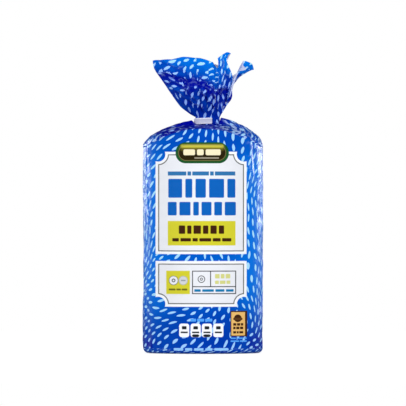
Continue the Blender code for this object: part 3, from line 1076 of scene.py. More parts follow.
@dataclass
class Crown:
    """The loose film above the clip: a fan of pleats that opens into a few broad folds."""

    pack: PackSizes
    film_length: float = 56.0
    film_thickness: float = 0.08
    stations: tuple[float, ...] = (0.0, 0.30, 0.42, 0.60, 0.72, 0.85, 1.0)
    knee: float = 0.50
    knee_width: float = 0.24
    root: float = 186.4
    columns: int = 450
    neck_rows: int = 9
    rows: int = 76
    pleats: int = 14
    pleat_depth: float = 1.8
    print_start: float = 232.0
    mid_girth: float = 120.0
    panel_shift: float = 53.0
    knee_crease: Crease = Crease((), 1.0, 3.2, 0.95)
    # Painted shade about the knee.
    knee_painted_shade: float = 0.78
    knee_fade: float = 0.40

    def _turns(self) -> np.ndarray:
        """Direction of every column."""
        return np.arange(self.columns) * (2.0 * math.pi / self.columns)

    def _carried(self, values: Sequence[float]) -> np.ndarray:
        """Values given at the fold lines, carried smoothly round the crown."""
        share = np.array([fold.share for fold in CROWN_FOLDS])
        place = (self._turns() / (2.0 * math.pi) - share[0]) % 1.0
        ends = np.append(share - share[0], 1.0)
        given = np.append(values, values[0])
        left = np.clip(np.searchsorted(ends, place, side="right") - 1, 0, len(share) - 1)
        along = (place - ends[left]) / (ends[left + 1] - ends[left])
        along = along * along * (3.0 - 2.0 * along)
        return given[left] * (1.0 - along) + given[left + 1] * along

    def _plain_rings(self) -> tuple[np.ndarray, np.ndarray]:
        """Every ring of the crown without pleats, and how far along the shown film each ring is."""
        turn = self._turns()
        ring = np.stack(
            [
                self.pack.neck_x + self.pack.neck_half_width * np.sin(turn),
                -self.pack.neck_half_depth * np.cos(turn),
                np.full(self.columns, self.pack.neck_top),
            ],
            axis=1,
        )
        drop = np.linspace(self.root - self.pack.neck_top, 0.0, self.neck_rows + 1)
        rings = [ring + (0.0, 0.0, height) for height in drop]
        alongs = list(drop / self.film_length)
        step = self.film_length / self.rows * self._carried([fold.length for fold in CROWN_FOLDS])
        for k in range(self.rows):
            along = (k + 0.5) / self.rows
            bent = min(max((along - self.knee) / self.knee_width + 0.5, 0.0), 1.0)
            bent = bent * bent * (3.0 - 2.0 * bent)
            side = [np.interp(along, self.stations, fold.side) for fold in CROWN_FOLDS]
            front = [fold.front[0] * (1.0 - bent) + fold.front[1] * bent for fold in CROWN_FOLDS]
            side, front = np.radians(self._carried(side)), np.radians(self._carried(front))
            ring = ring + np.stack(
                [step * np.sin(side) * np.cos(front), -step * np.sin(front), step * np.cos(side) * np.cos(front)],
                axis=1,
            )
            rings.append(ring)
            alongs.append((k + 1) / self.rows)
        return np.array(rings), np.array(alongs)

    @staticmethod
    def _outward(rings: np.ndarray) -> np.ndarray:
        """Unit directions away from the film, on its outer side."""
        round_way = np.roll(rings, -2, axis=1) - np.roll(rings, 2, axis=1)
        up_way = np.gradient(rings, axis=0)
        out = np.cross(round_way, up_way)
        return out / np.maximum(np.linalg.norm(out, axis=2, keepdims=True), 1e-9)

    def _pleat_lines(self) -> np.ndarray:
        """Shares of a turn at which the valleys of the pleats lie, unevenly spaced."""
        random = np.random.default_rng(11)
        gaps = random.uniform(0.6, 1.4, self.pleats)
        return np.concatenate([[0.0], np.cumsum(gaps) / gaps.sum()])

    def _pleated(self, rings: np.ndarray, along: np.ndarray) -> tuple[np.ndarray, np.ndarray]:
        """Presses the valleys of the pleats into the rings.

        Args:
            rings: The plain rings.
            along: How far along the film each ring is.

        Returns:
            The pleated rings and, for every column, the pleat that it belongs to.
        """
        random = np.random.default_rng(5)
        lines = self._pleat_lines()
        share = self._turns() / (2.0 * math.pi)
        pleat = np.clip(np.searchsorted(lines, share, side="right") - 1, 0, self.pleats - 1)
        across = (share - lines[pleat]) / (lines[pleat + 1] - lines[pleat])
        strength = random.uniform(0.55, 1.0, self.pleats)[pleat]
        reach = random.choice([0.42, 0.55, 0.8, 1.5], self.pleats)[pleat]
        rise = np.interp(along, (-0.1, 0.0, 0.10, 0.24, 0.60, 1.0), (0.16, 0.24, 0.6, 1.0, 0.62, 0.40))
        fade = np.clip((reach[None, :] - along[:, None]) / 0.22, 0.0, 1.0)
        valley = np.abs(2.0 * across - 1.0) ** 1.8 * strength
        sides = np.clip(np.abs(np.cos(self._turns())) / 0.30, 0.0, 1.0) ** 1.5
        fine = 0.14 * np.abs(np.sin(share * math.pi * 58.0)) * np.interp(along, (0.0, 0.34), (1.0, 0.0))[:, None]
        depth = self.pleat_depth * valley[None, :] * rise[:, None] * fade * sides[None, :] + fine
        out, _, _ = self._creased(along)
        return rings + self._outward(rings) * (out * sides[None, :] - depth)[:, :, None], pleat

    def _film_places(self, rings: np.ndarray, pleat: np.ndarray, along: np.ndarray) -> np.ndarray:
        """Where each corner of each face lies on the flat film; the film jumps at each hidden valley.

        Args:
            rings: The pleated rings.
            pleat: The pleat of every column.
            along: How far along the film each ring is.

        Returns:
            One pair of millimetre values for each corner, face by face.
        """
        steps = np.linalg.norm(np.roll(rings, -1, axis=1) - rings, axis=2)
        arc = np.concatenate([np.zeros((len(rings), 1)), np.cumsum(steps, axis=1)], axis=1)
        lines = self._pleat_lines()
        middle = ((lines[:-1] + lines[1:]) * 0.5 * self.columns).astype(int)
        offset = (lines[:-1] + lines[1:]) * 0.5 * (2.0 * math.pi * self.pack.radius)
        column = np.arange(self.columns)
        length = along * self.film_length
        number, _ = self._panels(along)
        number = number[:-1]
        lean = np.radians([panel.lean for panel in CROWN_PANELS])[number]
        corners = []
        for dy, dx in ((0, 0), (0, 1), (1, 1), (1, 0)):
            rows = np.arange(len(rings) - 1) + dy
            own = arc[rows][:, column + dx] - arc[rows][:, middle[pleat]] + offset[pleat][None, :]
            up = length[rows][:, None] + self.print_start
            x = own * np.cos(lean) - up * np.sin(lean) + number * self.panel_shift
            y = own * np.sin(lean) + up * np.cos(lean)
            corners.append(np.stack([x, y], axis=2))
        return np.stack(corners, axis=2).reshape(-1, 2)

    def _wandering(self, along: np.ndarray) -> tuple[np.ndarray, np.ndarray]:
        """Share of a turn and share of the length at every point, bent a little so that no fold runs straight."""
        share = self._turns()[None, :] / (2.0 * math.pi)
        along = along[:, None]
        bent = share + 0.008 * np.sin(along * 19.0 + 1.0) + 0.005 * np.sin(along * 47.0 + 2.0)
        lifted = along + 0.014 * np.sin(share * 12.0 * math.pi) + 0.009 * np.sin(share * 34.0 * math.pi + 1.0)
        return bent, lifted

    def _panels(self, along: np.ndarray) -> tuple[np.ndarray, np.ndarray]:
        """Finds the panel of every point.

        Args:
            along: How far along the film each ring is.

        Returns:
            The panel's number and how deep the ink looks, which changes softly from panel to panel.
        """
        share, lifted = self._wandering(along)
        above = lifted - self._carried([fold.knee_share for fold in CROWN_FOLDS])[None, :]
        number = np.zeros(above.shape, dtype=int)
        ink = np.full(above.shape, CROWN_PANELS[0].ink)
        for k, panel in enumerate(CROWN_PANELS[1:], start=1):
            half = 0.5 * (panel.right - panel.left)
            off = np.abs((share - panel.left - half + 0.5) % 1.0 - 0.5)
            sideways = np.clip((half - off) / 0.024 + 0.5, 0.0, 1.0)
            upward = np.clip(np.minimum(above - panel.low, panel.high - above) / 0.05 + 0.5, 0.0, 1.0)
            held = sideways * upward
            number[held > 0.25] = k
            ink = ink * (1.0 - held) + panel.ink * held
        return number, ink

    def _creased(self, along: np.ndarray) -> tuple[np.ndarray, np.ndarray, np.ndarray]:
        """Presses the knee and the creases.

        Args:
            along: How far along the film each ring is.

        Returns:
            How far each point stands out, in millimetres, its painted shade on the tucked-in side, and its painted
            highlight on the bulging side.
        """
        share, lifted = self._wandering(along)
        knee = self._carried([fold.knee_share for fold in CROWN_FOLDS])[None, :]
        signed = [((lifted - knee) * self.film_length, self.knee_crease)]
        for crease in CROWN_CREASES:
            for start in (0.0, 0.5):
                signed.append((self._distance(crease, (share - start + 0.5) % 1.0 - 0.5, lifted), crease))
        out, ink, painted_sheen = (np.zeros(lifted.shape) for _ in range(3))
        for distance, crease in signed:
            near = np.exp(-np.abs(distance) / crease.reach)
            out += crease.depth * near * np.clip(distance / 0.5, -1.0, 1.0)
            # Painted shade on the tucked-in side of each crease, painted highlight on its bulging side.
            shaded = np.exp(-(((distance + 0.5 * crease.reach) / crease.reach) ** 2.0))
            ink = np.maximum(ink, crease.ink * shaded)
            lit = np.exp(-(((distance - 0.8) / 1.0) ** 2.0))
            painted_sheen = np.maximum(painted_sheen, crease.painted_sheen * lit)
        return out, ink, painted_sheen

    def _distance(self, crease: Crease, share: np.ndarray, along: np.ndarray) -> np.ndarray:
        """Signed distance of every point from a crease in millimetres, positive above it or to its right."""
        x, y = share * self.mid_girth, along * self.film_length
        nearest, sign = np.full(x.shape, 1e9), np.ones(x.shape)
        for (share_a, along_a), (share_b, along_b) in zip(crease.path, crease.path[1:]):
            x_a, y_a = share_a * self.mid_girth, along_a * self.film_length
            run_x, run_y = share_b * self.mid_girth - x_a, along_b * self.film_length - y_a
            part = np.clip(((x - x_a) * run_x + (y - y_a) * run_y) / (run_x**2 + run_y**2), 0.0, 1.0)
            away = np.hypot(x - x_a - part * run_x, y - y_a - part * run_y)
            side = np.sign(run_x * (y - y_a) - run_y * (x - x_a))
            sign = np.where(away < nearest, side, sign)
            nearest = np.minimum(away, nearest)
        return nearest * sign

    def _shade_and_layers(self, along: np.ndarray) -> np.ndarray:
        """Painted shade and light, with the deeper blue of stacked film: by panel, fading up from the knee, in every
        crease, and darkest at the neck.
        """
        _, ink = self._panels(along)
        _, crease_shade, _ = self._creased(along)
        share, lifted = self._wandering(along)
        above = lifted - self._carried([fold.knee_share for fold in CROWN_FOLDS])[None, :]
        # Painted shade about the knee.
        knee_shade = self.knee_painted_shade * np.clip(1.0 - np.abs(above) / self.knee_fade, 0.0, 1.0)
        mottle = 0.12 * np.sin(share * 37.0 + lifted * 9.0) * np.sin(lifted * 23.0 - share * 13.0)
        # Painted shade next to the clip, darkest at the neck.
        neck = np.interp(along, (0.0, 0.16, 0.34), (0.40, 0.22, 0.0))[:, None]
        light = (1.0 - np.clip(ink + mottle, 0.0, 1.0)) * (1.0 - knee_shade) * (1.0 - crease_shade) * (1.0 - neck)
        return np.clip(1.0 - light, 0.0, 1.0)

    def build(self, printed: bpy.types.Material, bare: bpy.types.Material, crumple: Crumple) -> bpy.types.Object:
        """Makes the crown.

        Args:
            printed: Finish of the film's outer side.
            bare: Finish of its inner side and its cut edge.
            crumple: The tree that creases it.

        Returns:
            The piece.
        """
        plain, along = self._plain_rings()
        rings, pleat = self._pleated(plain, along)
        count_up, count = rings.shape[:2]
        index = np.arange(count_up * count).reshape(count_up, count)
        after = np.roll(index, -1, axis=1)
        faces = np.stack([index[:-1], after[:-1], after[1:], index[1:]], axis=2).reshape(-1, 4)
        mesh = bpy.data.meshes.new("crown_start")
        mesh.from_pydata((rings.reshape(-1, 3) * MM).tolist(), [], faces.tolist())
        layer = mesh.uv_layers.new(name=FILM_UV)
        layer.data.foreach_set("uv", self._film_places(rings, pleat, along).astype(np.float32).ravel())
        slack = np.repeat(np.interp(along, (0.03, 0.22), (0.0, 1.0)), count)
        # Painted highlight and painted shade, with the deeper blue of stacked film, are kept on the points for the
        # finish.
        painted_sheen = self._creased(along)[2].ravel()
        for name, values in ((SLACK, slack), (SHADE_AND_LAYERS, self._shade_and_layers(along).ravel()), (PAINTED_SHEEN, painted_sheen)):
            kept = mesh.attributes.new(name, "FLOAT", "POINT")
            kept.data.foreach_set("value", values.astype(np.float32))
        for finish in (printed, bare):
            mesh.materials.append(finish)
        turned_over = np.array([panel.inside_out for panel in CROWN_PANELS])[self._panels(along)[0][:-1]]
        mesh.polygons.foreach_set("material_index", turned_over.astype(np.int32).ravel())
        piece = crumple.shape.made_from(shown("crown_start", mesh), "crown_film")
        wall = piece.modifiers.new("Film Thickness", "SOLIDIFY")
        wall.thickness = self.film_thickness * MM
        wall.offset = -1.0
        wall.material_offset = 1
        wall.material_offset_rim = 1
        return dressed(applied(piece), FILM_NODE)


def dressed(piece: bpy.types.Object, stands_for: Optional[str] = None) -> bpy.types.Object:
    """Ties a finished piece to the frame.

    Args:
        piece: The piece, at the origin.
        stands_for: The frame's node that it takes the place of.

    Returns:
        The same piece.
    """
    if stands_for:
        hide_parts(stands_for)
    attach(piece, "root")
    return piece


# ---------------------------------------------------------------------------------------------------
# Strips: the clip and the two seals
# ---------------------------------------------------------------------------------------------------


@dataclass(frozen=True)
class Section:
    """A point of a strip's section, from its middle line: up its face and out of its face."""

    up: Term
    out: Term


class StripTree(ShapeTree):
    """A flat strip swept along a line, closed all round, with two raised ribs along its edges."""

    def __init__(self, name: str, sizes: dict[str, float], along: int, around: int = 40) -> None:
        """Makes the tree and the strip's sheet.

        Args:
            name: The tree's name.
            sizes: Sizes of the strip's line; Height, Thickness, Rib and Crimp are added.
            along: Cells along the strip.
            around: Cells round its section.
        """
        super().__init__(name, sizes)
        self.strip = self.sheet(along, around)
        self.end_share = 1.0 / along
        self.run = ((self.strip.across - self.end_share) / (1.0 - 2.0 * self.end_share)).at_least(0.0).at_most(1.0)

    def section(self) -> Section:
        """A boxy ring that shrinks to a point at both ends, so that the strip is closed."""
        ring = self.strip.along * (2.0 * math.pi)
        to_end = (0.5 - (self.strip.across - 0.5).size()) / self.end_share
        full = to_end.at_most(1.0) * (0.9 + 0.1 * to_end.step(1.0, 2.5))
        up_share = ring.sine().math("SIGN") * ring.sine().size() ** 0.28
        out_share = ring.cosine().math("SIGN") * ring.cosine().size() ** 0.28
        rib = (up_share.size() - 0.78).size().step(0.17, 0.0) * self.size("Rib")
        wave = (self.run * self.size("Crimps") * (2.0 * math.pi)).sine() * self.size("Crimp")
        middle = up_share.size().step(0.85, 0.55)
        out = out_share * (0.5 * self.size("Thickness") + rib + wave * middle)
        return Section(up_share * (0.5 * self.size("Height")) * full, out * full)


@dataclass(frozen=True)
class StripSizes:
    """Section of a strip, in millimetres."""

    height: float
    thickness: float
    rib: float = 0.0
    crimp: float = 0.0
    crimps: float = 0.0

    def named(self) -> dict[str, float]:
        """The same sizes by the names that the tree gives them."""
        return {
            "Height": self.height,
            "Thickness": self.thickness,
            "Rib": self.rib,
            "Crimp": self.crimp,
            "Crimps": self.crimps,
        }


@dataclass
class Clip:
    """The flat clip: a wired strip folded round the neck, open at its right end."""

    pack: PackSizes
    strip: StripSizes = StripSizes(height=4.9, thickness=0.8, rib=0.16, crimp=0.03, crimps=9.0)
    gap: float = 0.3
    tilt: float = math.radians(-2.0)
    bend_length: float = 6.0

    def build(self, finish: bpy.types.Material) -> bpy.types.Object:
        """Sweeps the strip along the front leg, round the bend and along the back leg."""
        depth = self.pack.neck_half_depth + self.gap + 0.5 * self.strip.thickness
        bend_x = self.pack.clip_left + 0.5 * self.strip.thickness + self.bend_length
        sizes = {"Depth": depth, "Bend Middle": bend_x, "Bend Length": self.bend_length, "Right End": self.pack.clip_right}
        sizes["Middle Height"] = 0.5 * (self.pack.clip_low + self.pack.clip_high)
        sizes["Rise"] = -math.tan(self.tilt)
        shape = StripTree("Neck Clip", {**sizes, **self.strip.named()}, along=120)
        leg = shape.size("Right End") - shape.size("Bend Middle")
        half_round = shape.size("Bend Length") * math.pi
        run = shape.run * (leg * 2.0 + half_round)
        back = (run - leg - half_round).at_least(0.0)
        bend = ((run - leg) / half_round).at_least(0.0).at_most(1.0) * math.pi
        section = shape.section()
        x = shape.size("Right End") - run.at_most(leg) - bend.sine() * (shape.size("Bend Length") + section.out) + back
        y = -(bend.cosine() * (shape.size("Depth") + section.out))
        z = shape.size("Middle Height") + section.up + x * shape.size("Rise")
        mesh = shape.put(shape.keep(shape.strip.mesh, "Edge", section.up.size()), x, y, z)
        shape.end(shape.finish(shape.welded(mesh), finish))
        piece = shape.made_from(shown("start", bpy.data.meshes.new("start")), "neck_clip_strip")
        return dressed(piece, CLIP_NODE)


@dataclass
class BackSeam:
    """The lengthwise seal of the film tube, pressed flat down the middle of the back."""

    pack: PackSizes
    strip: StripSizes = StripSizes(height=11.0, thickness=0.34, rib=0.05, crimp=0.07, crimps=88.0)
    low: float = 5.0
    high: float = 178.0

    def build(self, finish: bpy.types.Material) -> bpy.types.Object:
        """Sweeps the strip up the back of the wall."""
        form_sizes = FilmForm.sizes_of(self.pack, FilmSlack())
        sizes = {**form_sizes, **self.strip.named(), "Low End": self.low, "High End": self.high}
        shape = StripTree("Back Seam", sizes, along=700, around=32)
        form = FilmForm(shape)
        section = shape.section()
        height = shape.size("Low End") + shape.run * (shape.size("High End") - shape.size("Low End"))
        turn = section.up / shape.size("Radius") + math.pi
        x, y = form.round(turn, form.radius_at(height) + section.out + 0.22)
        mesh = shape.keep_film_place(shape.strip.mesh, turn * shape.size("Radius") + 60.0, height)
        mesh = shape.put(shape.keep(mesh, SLACK, 0.25), x, y, height)
        shape.end(shape.finish(shape.welded(mesh), finish))
        piece = shape.made_from(shown("start", bpy.data.meshes.new("start")), "back_seam")
        return dressed(piece)


@dataclass
class BaseSeal:
    """The cross seal under the stack, folded flat into the hollow of the base."""

    pack: PackSizes
    strip: StripSizes = StripSizes(height=12.0, thickness=0.36, rib=0.0, crimp=0.06, crimps=34.0)
    half_length: float = 37.0
    lift: float = 0.36

    def build(self, finish: bpy.types.Material) -> bpy.types.Object:
        """Sweeps the strip across the base."""
        sizes = {**self.strip.named(), "Half Length": self.half_length, "Lift": self.lift}
        shape = StripTree("Base Seal", sizes, along=300, around=32)
        section = shape.section()
        x = (shape.run * 2.0 - 1.0) * shape.size("Half Length")
        y = section.up + (x / 16.0).sine() * 0.5
        mesh = shape.keep_film_place(shape.strip.mesh, x + 90.0, y - 60.0)
        mesh = shape.put(shape.keep(mesh, SLACK, 0.2), x, y, shape.size("Lift") - section.out)
        shape.end(shape.finish(shape.welded(mesh), finish))
        piece = shape.made_from(shown("start", bpy.data.meshes.new("start")), "base_seal")
        return dressed(piece)


# ---------------------------------------------------------------------------------------------------
# The print
# ---------------------------------------------------------------------------------------------------

PAPER = tone(236, 237, 241)
WHITE_INK = tone(250, 251, 253)
KEY_LINE = tone(104, 106, 102)
DARK_INK = tone(38, 40, 44)
BLUE_INK = tone(17, 98, 186)
SMALL_BLUE = tone(52, 116, 172)
LEMON = tone(213, 207, 48)
BROWN_INK = tone(66, 36, 14)
PALE_OLIVE = tone(214, 214, 132)
TEAL_INK = tone(26, 122, 176)
SKY_INK = tone(84, 164, 246)
PALE_SKY = tone(150, 204, 255)
TAN = tone(238, 188, 108)
FOREST = tone(18, 84, 40)
MOSS = tone(196, 188, 66)
DEEP_BROWN = tone(44, 34, 10)
CREAM = tone(247, 236, 196)
NO_INK = (0.0, 0.0, 0.0)
SOLID = 400.0


@dataclass(frozen=True)
class Patch:
    """A field of one colour on the front, an upright box in millimetres, with round corners."""

    left: float
    low: float
    right: float
    high: float
    ink: Colour
    corner: float = 0.25
    line: float = SOLID
    soft: float = 0.35


def disc(x: float, z: float, radius: float, ink: Colour, line: float = SOLID) -> Patch:
    """A round field of one colour, or a ring."""
    return Patch(x - radius, z - radius, x + radius, z + radius, ink, radius, line)


@dataclass(frozen=True)
class Row:
    """Plain blocks side by side, that stand where a line of words would."""

    left: float
    low: float
    right: float
    high: float
    ink: Colour
    widths: tuple[float, ...]
    gap: float
    line: float = SOLID
    corner: float = 0.5

    def patches(self) -> Iterable[Patch]:
        """Every block; a width under the line's is a solid bar."""
        free = self.right - self.left - self.gap * (len(self.widths) - 1)
        start = self.left
        for width in self.widths:
            size = free * width / sum(self.widths)
            line = self.line if size > 2.2 * self.line else SOLID
            yield Patch(start, self.low, start + size, self.high, self.ink, self.corner, line)
            start += size + self.gap


@dataclass(frozen=True)
class Repeat:
    """The same patch printed at several places across."""

    patch: Patch
    steps: tuple[float, ...]

    @property
    def ink(self) -> Colour:
        """The ink of every copy."""
        return self.patch.ink

    def patches(self) -> Iterable[Patch]:
        """Every copy."""
        for step in self.steps:
            yield replace(self.patch, left=self.patch.left + step, right=self.patch.right + step)


BADGE_LEFTS = (-19.4, -10.1, -0.9, 8.4)
Layer = Union[Patch, Row, Repeat]

PANEL_PATCHES: tuple[Layer, ...] = (
    Row(-28.7, 145.3, 26.3, 148.6, SMALL_BLUE, (10, 2, 9, 2, 11), 0.9, corner=0.4),
    Row(-28.3, 127.2, 26.4, 142.6, BLUE_INK, (12, 6, 9, 13, 7), 2.6, corner=1.0),
    Row(-28.7, 112.8, 26.8, 123.8, BLUE_INK, (8, 10, 5, 9, 7, 10), 2.2, corner=0.9),
    Patch(-28.7, 88.3, 26.5, 108.3, LEMON),
    Row(-19.7, 97.8, 17.2, 104.6, BROWN_INK, (6, 4, 7, 5, 6, 5), 1.7, corner=0.7),
    Row(-25.0, 91.6, 23.1, 94.3, BROWN_INK, (5, 8, 4, 9, 6, 7), 1.3, corner=0.5),
    Patch(-30.0, 48.7, -10.7, 67.7, LEMON),
    disc(-24.0, 59.8, 3.9, KEY_LINE),
    disc(-24.0, 59.8, 3.4, PAPER),
    disc(-24.0, 59.8, 1.5, DARK_INK, 0.7),
    disc(-16.1, 59.8, 3.8, tone(176, 178, 160)),
    disc(-16.1, 59.8, 3.3, tone(212, 214, 216)),
    Patch(-18.0, 59.3, -14.2, 60.3, tone(150, 156, 162)),
    Row(-27.9, 51.7, -12.8, 53.2, tone(112, 108, 30), (6, 4, 5), 0.7),
    Patch(-8.9, 48.7, 27.0, 67.8, DARK_INK, 0.25, 0.75),
    Patch(-8.5, 54.4, 26.6, 55.15, DARK_INK),
    Patch(5.8, 54.8, 6.55, 67.4, DARK_INK),
    disc(-1.3, 60.9, 3.0, DARK_INK, 0.6),
    disc(-1.3, 60.9, 1.2, DARK_INK, 0.55),
    Row(9.8, 61.5, 22.2, 65.1, PALE_OLIVE, (5, 4, 5), 1.0, corner=0.5),
    Row(9.8, 57.0, 22.2, 59.7, PALE_OLIVE, (4, 6, 4), 0.8, corner=0.4),
    Row(-7.1, 50.6, 25.0, 52.7, TEAL_INK, (5, 9, 7, 6), 1.2, corner=0.6),
)

FOOT_PATCHES: tuple[Layer, ...] = (
    Row(-10.2, 26.4, 7.5, 28.7, SKY_INK, (4, 5, 5), 0.9),
    Repeat(Patch(0.0, 13.7, 8.2, 24.7, WHITE_INK, 2.0), BADGE_LEFTS),
    Repeat(Patch(2.2, 20.0, 6.0, 22.6, DARK_INK, 0.6), BADGE_LEFTS),
    Repeat(Patch(1.2, 16.9, 7.0, 18.2, DARK_INK), BADGE_LEFTS),
    Repeat(Patch(0.9, 13.7, 7.3, 16.0, DARK_INK, 1.8), BADGE_LEFTS[1:3]),
    Patch(22.3, 14.1, 36.1, 35.0, BROWN_INK, 0.4),
    Patch(23.1, 14.9, 34.3, 34.0, TAN, 0.3),
    disc(28.4, 28.9, 3.1, BROWN_INK),
    Patch(24.6, 27.4, 32.2, 29.4, tone(96, 60, 26), 0.9),
    Row(24.6, 22.9, 32.8, 25.0, BROWN_INK, (4, 4, 3), 0.5, corner=0.3),
    Row(24.6, 20.0, 32.8, 22.1, BROWN_INK, (3, 4, 4), 0.5, corner=0.3),
    Row(24.6, 16.6, 32.8, 18.4, BROWN_INK, (3, 2, 4), 0.5, corner=0.3),
    Row(22.5, 12.1, 35.7, 13.2, SKY_INK, (4, 5, 2), 0.6),
    Row(22.5, 9.7, 35.7, 10.9, SKY_INK, (6, 5), 0.6),
    Row(-23.8, 2.6, 20.8, 4.7, PALE_SKY, (4, 3, 4, 3, 6), 1.5, corner=0.7),
)

PLATE_PATCHES: tuple[Layer, ...] = (
    Patch(-22.4, 155.2, 21.1, 172.4, FOREST, 8.3),
    Patch(-21.2, 156.4, 19.9, 171.2, tone(44, 92, 40), 7.2),
    Patch(-20.4, 157.0, 19.1, 170.6, DEEP_BROWN, 6.8),
    Patch(-18.4, 166.0, 17.1, 170.4, tone(120, 112, 34), 2.2, soft=3.0),
    Patch(-18.0, 168.0, 16.7, 170.3, MOSS, 1.1, soft=1.4),
    Patch(-20.0, 157.4, 18.7, 170.2, tone(150, 146, 90), 6.3, 0.30),
    Row(-16.0, 161.8, 14.4, 166.6, CREAM, (7, 4, 9), 1.6, corner=1.2),
    Patch(-7.0, 159.0, 13.0, 160.1, tone(160, 152, 132), 0.4),
)


class Print:
    """Fields of colour laid one over another, in the flat view from the front, apart from the film below."""

    def __init__(self, tree: bpy.types.NodeTree, effects: Effects) -> None:
        """Starts with nothing printed.

        Args:
            tree: The material's tree.
            effects: The shared effects.
        """
        self.tree = tree
        self.effects = effects
        self.colour: Union[Colour, bpy.types.NodeSocket] = NO_INK
        self.bare: Optional[Term] = None
        x, _, z = parts_of(tree, tree.nodes.new("ShaderNodeTexCoord").outputs["Object"])
        self.across, self.up = x / MM, z / MM

    def lay(self, mask: Term, ink: Colour) -> None:
        """Prints an ink where the mask is 1; bare is the share of the film that nothing covers yet."""
        self.colour = mixed(self.tree, mask, self.colour, ink)
        left = 1.0 - mask
        self.bare = left if self.bare is None else self.bare * left

    def over(self, ground: bpy.types.NodeSocket) -> bpy.types.NodeSocket:
        """The finished print on a ground colour."""
        if self.bare is None:
            return ground
        seen = mixed(self.tree, self.bare, NO_INK, ground)
        both = self.tree.nodes.new("ShaderNodeVectorMath")
        self.tree.links.new(seen, both.inputs[0])
        self.tree.links.new(self.colour, both.inputs[1])
        return both.outputs[0]

    def mask(self, patch: Patch) -> Term:
        """Where a patch is."""
        return use_group(
            self.tree,
            self.effects[Effect.BOX],
            Across=self.across - 0.5 * (patch.left + patch.right),
            Up=self.up - 0.5 * (patch.low + patch.high),
            Half_Width=0.5 * (patch.right - patch.left),
            Half_Height=0.5 * (patch.high - patch.low),
            Corner=patch.corner,
            Line_Width=patch.line,
            Soft=patch.soft,
        )

    def lay_all(self, layers: Iterable[Layer]) -> None:
        """Prints patches, rows and repeats in order, each with one ink."""
        for layer in layers:
            masks = [self.mask(patch) for patch in ((layer,) if isinstance(layer, Patch) else layer.patches())]
            self.lay(reduce(Term.at_least, masks), layer.ink)

    def plaque(self, left: float, low: float, right: float, high: float, notched_at: float) -> None:
        """Prints a framed panel whose two corners at one height are cut out by arcs."""
        middle, half = 0.5 * (left + right), 0.5 * (right - left)
        to_corner = ((self.across - middle).size() - half, self.up - notched_at)
        reach = (to_corner[0] ** 2.0 + to_corner[1] ** 2.0) ** 0.5
        for grow, notch, ink in ((2.1, 5.9, WHITE_INK), (0.0, 8.0, KEY_LINE), (-0.85, 8.85, PAPER)):
            outside = reach.step(notch - 0.15, notch + 0.15)
            patch = Patch(left - grow, low - grow, right + grow, high + grow, ink, 0.3)
            self.lay(self.mask(patch) * outside, ink)


def mixed(
    tree: bpy.types.NodeTree,
    share: Number,
    low: Union[Colour, bpy.types.NodeSocket],
    high: Union[Colour, bpy.types.NodeSocket],
) -> bpy.types.NodeSocket:
    """Mixes two colours.

    Args:
        tree: The tree to add to.
        share: From 0 for the first colour to 1 for the second.
        low: The first colour.
        high: The second colour.

    Returns:
        The mixed colour.
    """
    node = tree.nodes.new("ShaderNodeMix")
    node.data_type = "RGBA"
    join(tree, share, node.inputs["Factor"])
    for colour, slot in ((low, node.inputs[6]), (high, node.inputs[7])):
        if isinstance(colour, bpy.types.NodeSocket):
            tree.links.new(colour, slot)
        else:
            slot.default_value = (*colour, 1.0)
    return node.outputs[2]


# ---------------------------------------------------------------------------------------------------
# Finishes
# ---------------------------------------------------------------------------------------------------


def started(name: str) -> tuple[bpy.types.Material, bpy.types.NodeTree, bpy.types.Node]:
    """Makes an empty finish.

    Args:
        name: The finish's name.

    Returns:
        The material, its tree and its shader.
    """
    material = bpy.data.materials.new(name)
    material.use_nodes = True
    return material, material.node_tree, material.node_tree.nodes["Principled BSDF"]


def bumped(tree: bpy.types.NodeTree, height: Term, depth: float, strength: float) -> bpy.types.NodeSocket:
    """A normal that follows a height; depth is in metres."""
    node = tree.nodes.new("ShaderNodeBump")
    node.inputs["Distance"].default_value = depth
    node.inputs["Strength"].default_value = strength
    join(tree, height, node.inputs["Height"])
    return node.outputs["Normal"]


def kept_value(tree: bpy.types.NodeTree, name: str) -> Term:
    """A number stored on the mesh, read by a material."""
    node = tree.nodes.new("ShaderNodeAttribute")
    node.attribute_name = name
    return Term(tree, node.outputs["Fac"])


